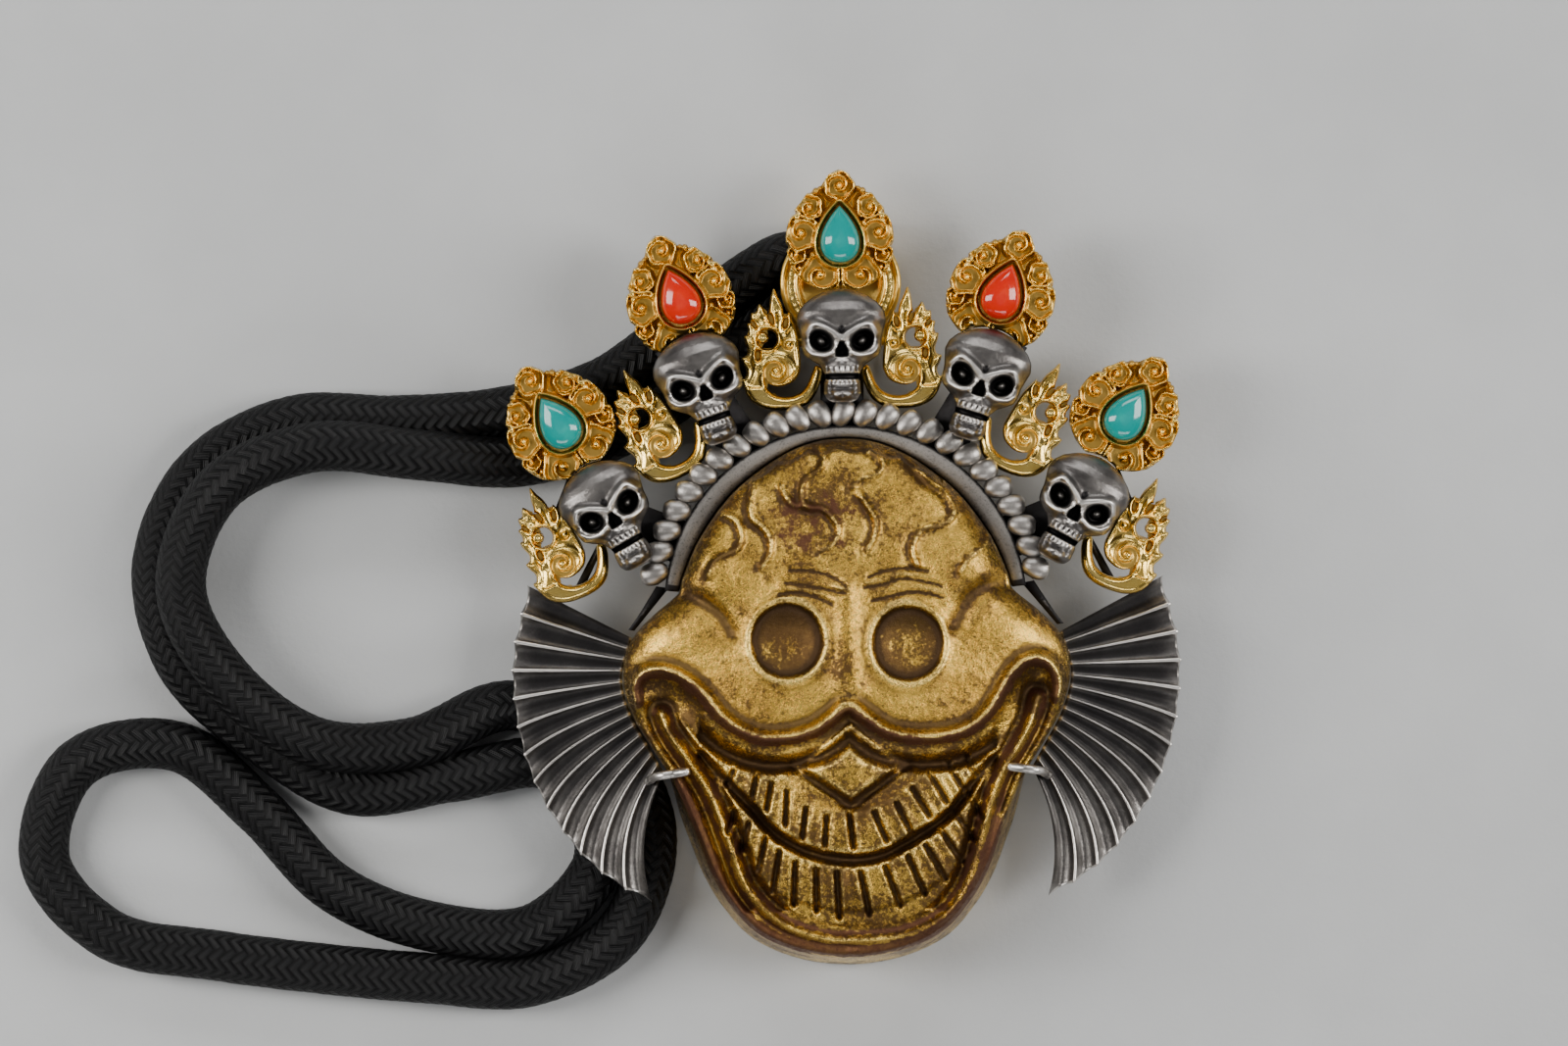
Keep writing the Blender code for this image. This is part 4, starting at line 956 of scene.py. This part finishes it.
SCROLL_OUTLINE = [
    (-0.1, 8.1), (0.25, 7.3), (0.6, 6.6), (0.78, 6.0), (0.85, 5.5), (1.05, 5.3), (1.3, 5.75), (1.6, 5.2),
    (1.9, 4.4), (2.15, 3.4), (2.25, 2.6), (2.35, 1.8), (2.42, 1.1), (2.42, 0.4), (2.25, -0.25),
    (1.85, -0.85), (1.2, -1.25), (0.4, -1.45), (-0.3, -1.35), (-0.85, -0.9), (-1.08, -0.5), (-1.12, -1.0),
    (-0.75, -1.8), (0.2, -2.35), (1.4, -2.4), (2.4, -2.0), (3.05, -1.2), (3.5, -0.1), (3.75, 0.45),
    (4.15, 0.5), (4.5, 0.1), (4.45, -0.6), (4.2, -1.4), (3.8, -2.3), (3.2, -3.05), (2.2, -3.55),
    (0.7, -3.75), (-1.0, -3.6), (-2.2, -3.05), (-2.85, -2.3), (-3.2, -1.5), (-3.45, -0.7), (-3.05, -0.55),
    (-2.85, 0.1), (-3.15, 0.7), (-3.35, 1.35), (-2.9, 1.5), (-2.7, 2.1), (-2.95, 2.8), (-3.05, 3.5),
    (-2.65, 3.6), (-2.65, 4.1), (-2.75, 4.7), (-2.35, 4.8), (-2.4, 5.3), (-2.3, 5.75), (-1.9, 5.75),
    (-1.75, 6.2), (-1.5, 6.6), (-1.15, 6.2), (-0.95, 5.75), (-0.7, 5.6), (-0.55, 6.1), (-0.5, 6.8),
    (-0.35, 7.5),
]
SCROLL_RIDGES = [
    [(-2.9, -1.6), (-2.2, -0.3), (-1.95, 1.0), (-2.1, 2.2), (-2.0, 3.6), (-1.3, 4.6)],
    [(-0.15, 7.4), (0.1, 6.2), (-0.1, 5.0)],
    [(1.25, 5.4), (1.35, 4.4), (0.9, 3.9)],
    [(-1.5, 6.2), (-1.3, 5.4), (-0.7, 4.9)],
    [(-1.45, 0.2), (-1.05, 1.15), (-0.1, 1.62), (0.9, 1.45), (1.65, 0.75), (1.85, -0.1), (1.5, -0.8)],
]
# Openings through the flames: place, half width, half height, lean
SCROLL_HOLES = [
    (-0.42, 5.15, 0.2, 0.5, 0.3), (1.0, 4.75, 0.18, 0.42, -0.2), (-1.75, 1.6, 0.2, 0.4, 0.0),
    (-2.1, 4.6, 0.16, 0.3, 0.5),
]
# Curls: place, radius, hand, pitch
SCROLL_CURLS = [(-0.05, 0.05, 1.4, 1, 1.1), (1.3, 2.6, 0.75, -1, 0.75)]
SCROLL_RING = (-0.8, 3.15)
SCROLL_BALL = (-1.25, 3.3)


def scroll_shape(mirror):
    """A flame with its curls and openings, on the stem that hooks it to the crown."""
    outline = smooth_line(SCROLL_OUTLINE, 0.12, closed=True)
    ridges = [smooth_line(line, 0.2) for line in SCROLL_RIDGES]

    def ring_and_ball(x, y):
        return [np.hypot(x - cx, y - cy) for cx, cy in (SCROLL_RING, SCROLL_BALL)]

    def field(x, y):
        x = x * mirror
        ring, ball = ring_and_ball(x, y)
        best = np.minimum(signed(x, y, outline), np.maximum(ring - 0.95, 0.58 - ball))
        for hx, hy, wide, high, lean in SCROLL_HOLES:
            dx, dy = x - hx, y - hy
            best = np.minimum(best, wide * (np.hypot((dx + lean * dy) / wide, dy / high) - 1))
        return best

    def height(x, y):
        d = field(x, y)
        x = x * mirror
        stem = np.clip(ease((-1.3 - y) / 0.5) + ease((x - 2.7) / 0.3), 0, 1)
        z = 0.5 + 0.5 * rounded(d, 0.5) + 0.2 * stem * ease(d / 0.6)
        z += (1 - stem) * (0.16 * ridge(d - 0.2, 0.15) - 0.14 * ease((d - 0.3) / 0.3))
        for line in ridges:
            z += 0.2 * ridge(line_distance(x, y, line), 0.24)
        for cx, cy, radius, hand, pitch in SCROLL_CURLS:
            r, angle = np.hypot(x - cx, y - cy), np.arctan2(y - cy, x - cx)
            curl = 0.7 + 0.4 * ridge(spiral(r, angle, pitch, hand, 0.25), 0.2) * ease((r - 0.35) / 0.15)
            share = ease((radius - r) / 0.2)
            z = z * (1 - share) + np.minimum(curl + 0.55 * dome(r, 0.4), 1.3) * share
        ring, ball = ring_and_ball(x, y)
        z += 0.35 * dome(ball, 0.5) + 0.28 * ridge(ring - 1.2, 0.14) * (x > -1.6)
        # Painted shade on the low parts of the flame, none on the stem.
        return np.clip(z, 0.3, 1.3), 0.75 * ease((0.98 - z) / 0.3) * (1 - ease(stem))

    return plaque((-4.8, -4.0), (4.8, 8.4), SCROLL_STEP, field, height)


def make_scrolls():
    shapes = {1: scroll_shape(1), -1: scroll_shape(-1)}
    for _, label, place, side in both_sides(SCROLLS):
        verts, faces, tones = shapes[side]
        make_piece(f"flame_scroll_{label}", settle(verts, place), faces, GOLD,
                   [f"scroll_{label}"], 8, tones)


# Silver mount, beaded border, fans and bail

ARCH = np.array([0.0, -3.67])
TAB_INNER = 17.35
TAB_HALF_WIDTH = 2.1
TAB_OVERLAP = 5.5
CENTER_TAB_END = 20.8
STRUTS = [
    [(21.9, 5.9), (23.1, 4.6), (26.9, -2.5), (25.5, -1.6)],
    [(17.2, -1.6), (18.4, -1.4), (20.3, -4.4), (21.2, -5.6), (20.6, -5.7)],
]
BEADS = 25
BEAD_START = 7.5
BEAD_STEP = 6.6
BEAD_LEAN = 28
BEAD_LEVEL = 8.84
BEAD_LENGTH = 1.42
BEAD_WIDTH = 1.24
BEAD_RISE = 0.94
FLUTES = 13
FAN_INNER = [(-20.9, -6.4), (-21.9, -10.3), (-21.05, -13.9), (-19.35, -17.1), (-17.95, -19.6)]
FAN_OUTER = [
    (-31.0, -1.1), (-32.6, -8.0), (-32.2, -15.0), (-30.2, -21.4), (-26.6, -27.0), (-22.8, -30.4),
    (-19.3, -32.2),
]
BAIL = (0.0, 27.8)
BAIL_HALF_WIDTH = 4.6
BAIL_HALF_LENGTH = 6.0


def on_arch(radius, angle):
    return ARCH[0] + radius * math.cos(angle), ARCH[1] + radius * math.sin(angle)


def make_mount():
    """The bezel, close round the mask's dome, with the tabs and struts that carry the crown and fans."""
    around = mask_edge() - ARCH
    around = around[around[:, 1] > -2]
    around = around[np.argsort(np.arctan2(around[:, 1], around[:, 0]))]
    bearing, reach = np.arctan2(around[:, 1], around[:, 0]), np.hypot(around[:, 0], around[:, 1])
    rings = []
    for angle in np.radians(np.linspace(6.0, 174.0, 150)):
        near = np.interp(angle, bearing, reach) + 0.1
        profile = [(16.8, 0.1), (16.9, 0.0), (17.55, 0.0), (17.65, 0.1), (17.65, 8.75), (17.6, 8.98),
                   (17.48, 9.12), (17.3, 9.17), (16.9, 9.15), (0.5 * (near + 17.0), 9.08),
                   (near + 0.16, 8.98), (near + 0.05, 8.85), (near, 8.5), (near, 7.9), (16.75, 7.7)]
        rings.append([(*on_arch(r, angle), z) for r, z in profile])
    verts, faces = loft(rings)
    # Painted shade on the bezel below its top face.
    shapes = [(verts, faces, 0.75 * np.clip((8.93 - verts[:, 2]) / 0.15, 0, 1))]
    bottom, top = LEVEL - 1.5, LEVEL - 0.3
    for rank, _, (x, y, _), _ in both_sides(SKULLS):
        away = np.array([x, y]) - ARCH
        away /= np.linalg.norm(away)
        across = np.array([-away[1], away[0]]) * TAB_HALF_WIDTH
        start = ARCH + away * TAB_INNER
        end = np.array([x, y]) + away * TAB_OVERLAP
        if rank == "center":
            end = np.array([0, CENTER_TAB_END])
        tab = [start + across, end + across, end - across, start - across]
        # The tabs, hidden under the skulls, take painted shade.
        shapes.append((*slab(tab, bottom, top), 0.55))
    for side in (-1, 1):
        for outline in STRUTS:
            strut = [(side * x, y) for x, y in outline][::side]
            # The struts take a little painted shade.
            shapes.append((*slab(strut, bottom, top), 0.15))
    verts, faces, dirt_and_shade = join(shapes)
    make_piece("silver_mount", verts, faces, SILVER, ["mount_frame"], 3,
               {"dirt_and_shade": dirt_and_shade, "worn": ease((verts[:, 2] - 8.8) / 0.12)})


def make_beads():
    wire = [(*on_arch(18.75, a), 8.35) for a in np.radians(np.linspace(7.6, 172.4, 120))]
    # The wire under the beads is painted fully dark as shade.
    shapes = [(*sweep(wire, 0.42, 10), 1.0)]
    up = np.linspace(-math.pi / 2, math.pi / 2, 15)[1:-1]
    around = circle(22)
    for k in range(BEADS):
        angle = math.radians(BEAD_START + BEAD_STEP * (k + 0.5))
        lean = angle + math.radians(BEAD_LEAN if angle > math.pi / 2 else -BEAD_LEAN)
        out = np.array([math.cos(lean), math.sin(lean), 0])
        along = np.array([-out[1], out[0], 0])
        middle = np.array([*on_arch(18.85, angle), BEAD_LEVEL])
        rings = []
        for s, c in zip(np.sin(up), np.cos(up) ** 0.7):
            wide, high = along * BEAD_WIDTH * (0.88 + 0.12 * s) * c, [0, 0, BEAD_RISE * c]
            ring = np.outer(np.cos(around), wide) + np.outer(np.sin(around), high)
            rings.append(middle + out * BEAD_LENGTH * s + ring)
        verts, faces = loft(rings)
        high = (verts[:, 2] - BEAD_LEVEL) / BEAD_RISE
        across = np.abs((verts - middle) @ along)
        # Painted shade on the lower part of each bead and at its sides, where it meets its neighbours.
        dirt_and_shade = ease((0.3 - high) / 0.5) + 0.8 * ease((across - 0.9) / 0.2)
        shapes.append((verts, faces, np.clip(dirt_and_shade, 0, 1)))
    verts, faces, dirt_and_shade = join(shapes)
    make_piece("bead_row", verts, faces, SILVER, ["beaded_border"], 3,
               {"dirt_and_shade": dirt_and_shade, "worn": np.full(len(verts), 0.3)})


def spaced(points, count):
    """A smooth line cut into even steps."""
    line = smooth_line(points, 0.05)
    at = np.linspace(0, 1, count)
    return np.stack([np.interp(at, np.linspace(0, 1, len(line)), values) for values in line.T], axis=-1)


def make_fans():
    rows, columns = 40, FLUTES * 14 + 1
    inner, outer = (spaced(line, columns)[:, None] for line in (FAN_INNER, FAN_OUTER))
    s, t = np.linspace(0, 1, rows), np.linspace(0, 1, columns)[:, None]
    wave = 1 - 2 * np.abs(np.sin(math.pi * FLUTES * t)) ** 0.75
    reach = s * (0.984 + 0.012 * wave)
    flat = inner + (outer - inner) * reach[..., None]
    flat[..., 0] -= 1.3 * ease(t / 0.6) * 4 * reach * (1 - reach)
    z = 6.5 + 0.55 * (0.35 + 0.65 * s) * wave
    lines = 0.02 * np.sin(t * FLUTES * 6 * math.pi)
    # Painted shade down the flute valleys, lifted by painted light at the outer ends and over the lower half,
    # and painted shade towards the inner edge under the mask.
    light = 0.3 * ease((s - 0.75) / 0.25) + 0.75 * s * ease((t - 0.45) / 0.5)
    dirt_and_shade = 0.86 * ease((0.6 - wave) / 1.5) * np.clip(1.0 - light, 0, 1)
    dirt_and_shade = np.maximum(dirt_and_shade, 0.45 * (1 - ease(s / 0.5)))
    grid = np.hstack([np.dstack([flat, z + 0.2 + lines]), np.dstack([flat, z - 0.2])[:, ::-1]])
    tones = np.hstack([dirt_and_shade, np.full(dirt_and_shade.shape, 0.5)])
    tip_x, tip_y, bend_x = -15.4, -19.3, -16.8
    rest, over = mask_height(np.array([tip_x, bend_x]), np.array([tip_y, tip_y]), mask_edge())[0] + 0.4
    wire = smooth_line([(-19.6, -20.4, 6.7), (-19.05, -20.1, 7.7), (-18.95, -19.9, 10.4),
                        (-18.15, -19.7, over + 0.5), (bend_x, tip_y - 0.2, over + 0.6),
                        (tip_x, tip_y, rest + 0.35)], 0.2)
    radii = 0.42 * (1 - 0.25 * ease((np.arange(len(wire)) - len(wire) + 5) / 5.0))
    for label, side in (("left", 1), ("right", -1)):
        flip = [side, 1, 1]
        sheet = (*loft(grid[::side] * flip, caps=False), tones[::side].reshape(-1))
        verts, faces, dirt_and_shade = join([sheet, (*sweep(wire * flip, radii), 0.1)])
        make_piece(f"fluted_fan_{label}", verts, faces, SILVER, [f"fan_{label}"], 6,
                   {"dirt_and_shade": dirt_and_shade})


def make_bail():
    """A round, stepped gold face on the plain sleeve that the cord ends in."""
    cx, cy = BAIL
    a = circle(120)
    profile = [(5.55, 6.45), (5.8, 6.55), (5.9, 6.8), (5.9, 7.2), (5.85, 7.42), (5.7, 7.56), (5.52, 7.58),
               (5.4, 7.45), (5.36, 7.25), (5.2, 7.1), (5.0, 7.12), (4.8, 7.2), (4.6, 7.18), (4.46, 7.15),
               (4.42, 7.35), (4.32, 7.5), (4.15, 7.52), (4.02, 7.4), (3.95, 7.15), (3.6, 6.95), (2.8, 6.82),
               (1.5, 6.75), (0.4, 6.72)]
    rings = []
    for r, z in profile:
        grain = 0.1 * np.sin(a * 46) if 4.6 <= r <= 5.0 else 0
        rings.append(at_level(np.column_stack([cx + r * np.cos(a), cy + r * np.sin(a)]), z + grain))
    verts, faces = loft(rings[::-1])
    r = np.hypot(verts[:, 0] - cx, verts[:, 1] - cy)
    # Painted shade in the middle of the ring and in the groove inside its rim.
    shapes = [(verts, faces, np.clip(0.7 * ease((3.9 - r) / 0.4) + 0.6 * ridge(r - 5.3, 0.15), 0, 1))]
    x0, x1 = cx - BAIL_HALF_WIDTH, cx + BAIL_HALF_WIDTH
    y0, y1 = cy - BAIL_HALF_LENGTH, cy + BAIL_HALF_LENGTH
    for (left, front), (right, rear), low, high in (
            ((x0, y0), (x1, y0 + 0.75), 0.0, 6.6), ((x0, y1 - 0.75), (x1, y1), 0.0, 6.6),
            ((x1 - 0.8, y0 + 0.7), (x1, y1 - 0.7), 0.0, 6.6),
            ((x0, y0 + 0.7), (x1 - 0.7, y1 - 0.7), 0.0, 0.7),
            ((x0, y0 + 0.7), (x1 - 0.7, y1 - 0.7), 6.25, 6.65)):
        wall = [(left, front), (right, front), (right, rear), (left, rear)]
        shapes.append((*slab(wall, low, high, 0.08), 0.3))
    verts, faces, dirt_and_shade = join(shapes)
    make_piece("round_bail", verts, faces, GOLD, ["bail"], 4, {"dirt_and_shade": dirt_and_shade})


make_cord()
make_mask()
make_mount()
make_beads()
make_skulls()
make_finials()
make_stones()
make_scrolls()
make_fans()
make_bail()


# Floor, light and camera

CAMERA_PLACE = (-5.86, 4.57, 770.9)
CAMERA_TURN = -0.9
CAMERA_LENS = 180
LIGHT_AIM = (0, 0, 8)
FLOOR_HALF = 1200


def floor_finish():
    f = Finish("pale_stone_floor")
    clouds, grains = f.noise(60.0, 5.0, 0.6), f.noise(0.8, 4.0, 0.6)
    colour = f.mix(f.ramp(clouds, 0.3, 0.7), (0.52, 0.53, 0.535), (0.45, 0.46, 0.465))
    return f.done(Base_Color=colour, Roughness=f.plus(f.times(grains, 0.2), 0.55),
                  Normal=f.bump(grains, 0.05))


def make_floor():
    mesh = bpy.data.meshes.new("floor")
    corners = [(-1, -1), (1, -1), (1, 1), (-1, 1)]
    mesh.from_pydata([(x * FLOOR_HALF * MM, y * FLOOR_HALF * MM, 0) for x, y in corners], [], [(0, 1, 2, 3)])
    mesh.materials.append(floor_finish())
    add("floor", mesh)


def softbox(name, place, size, power, colour=(1, 1, 1)):
    light = bpy.data.lights.new(name, "AREA")
    light.shape = "RECTANGLE"
    light.size, light.size_y = (s * MM for s in size)
    light.energy = power
    light.color = colour
    obj = add(name, light)
    obj.location = Vector(place) * MM
    obj.rotation_euler = (Vector(LIGHT_AIM) * MM - obj.location).to_track_quat("-Z", "Y").to_euler()


def make_stage():
    make_floor()
    softbox("left_softbox", (-330, 40, 260), (140, 320), 1.6, (1.0, 0.98, 0.95))
    softbox("right_softbox", (330, 20, 260), (140, 320), 1.6, (1.0, 0.98, 0.95))
    softbox("top_softbox", (0, 380, 260), (360, 120), 0.8)
    softbox("front_softbox", (0, -380, 260), (320, 110), 0.5)
    softbox("overhead_panel", (40, -60, 900), (560, 460), 0.16)
    world = bpy.data.worlds.new("studio")
    world.use_nodes = True
    world.node_tree.nodes["Background"].inputs["Color"].default_value = (0.30, 0.30, 0.31, 1)
    world.node_tree.nodes["Background"].inputs["Strength"].default_value = 0.25
    bpy.context.scene.world = world
    camera = bpy.data.cameras.new("camera")
    camera.sensor_width = 36
    camera.lens = CAMERA_LENS
    view = add("camera", camera)
    view.location = Vector(CAMERA_PLACE) * MM
    view.rotation_euler = (0, 0, math.radians(CAMERA_TURN))
    bpy.context.scene.camera = view


make_stage()
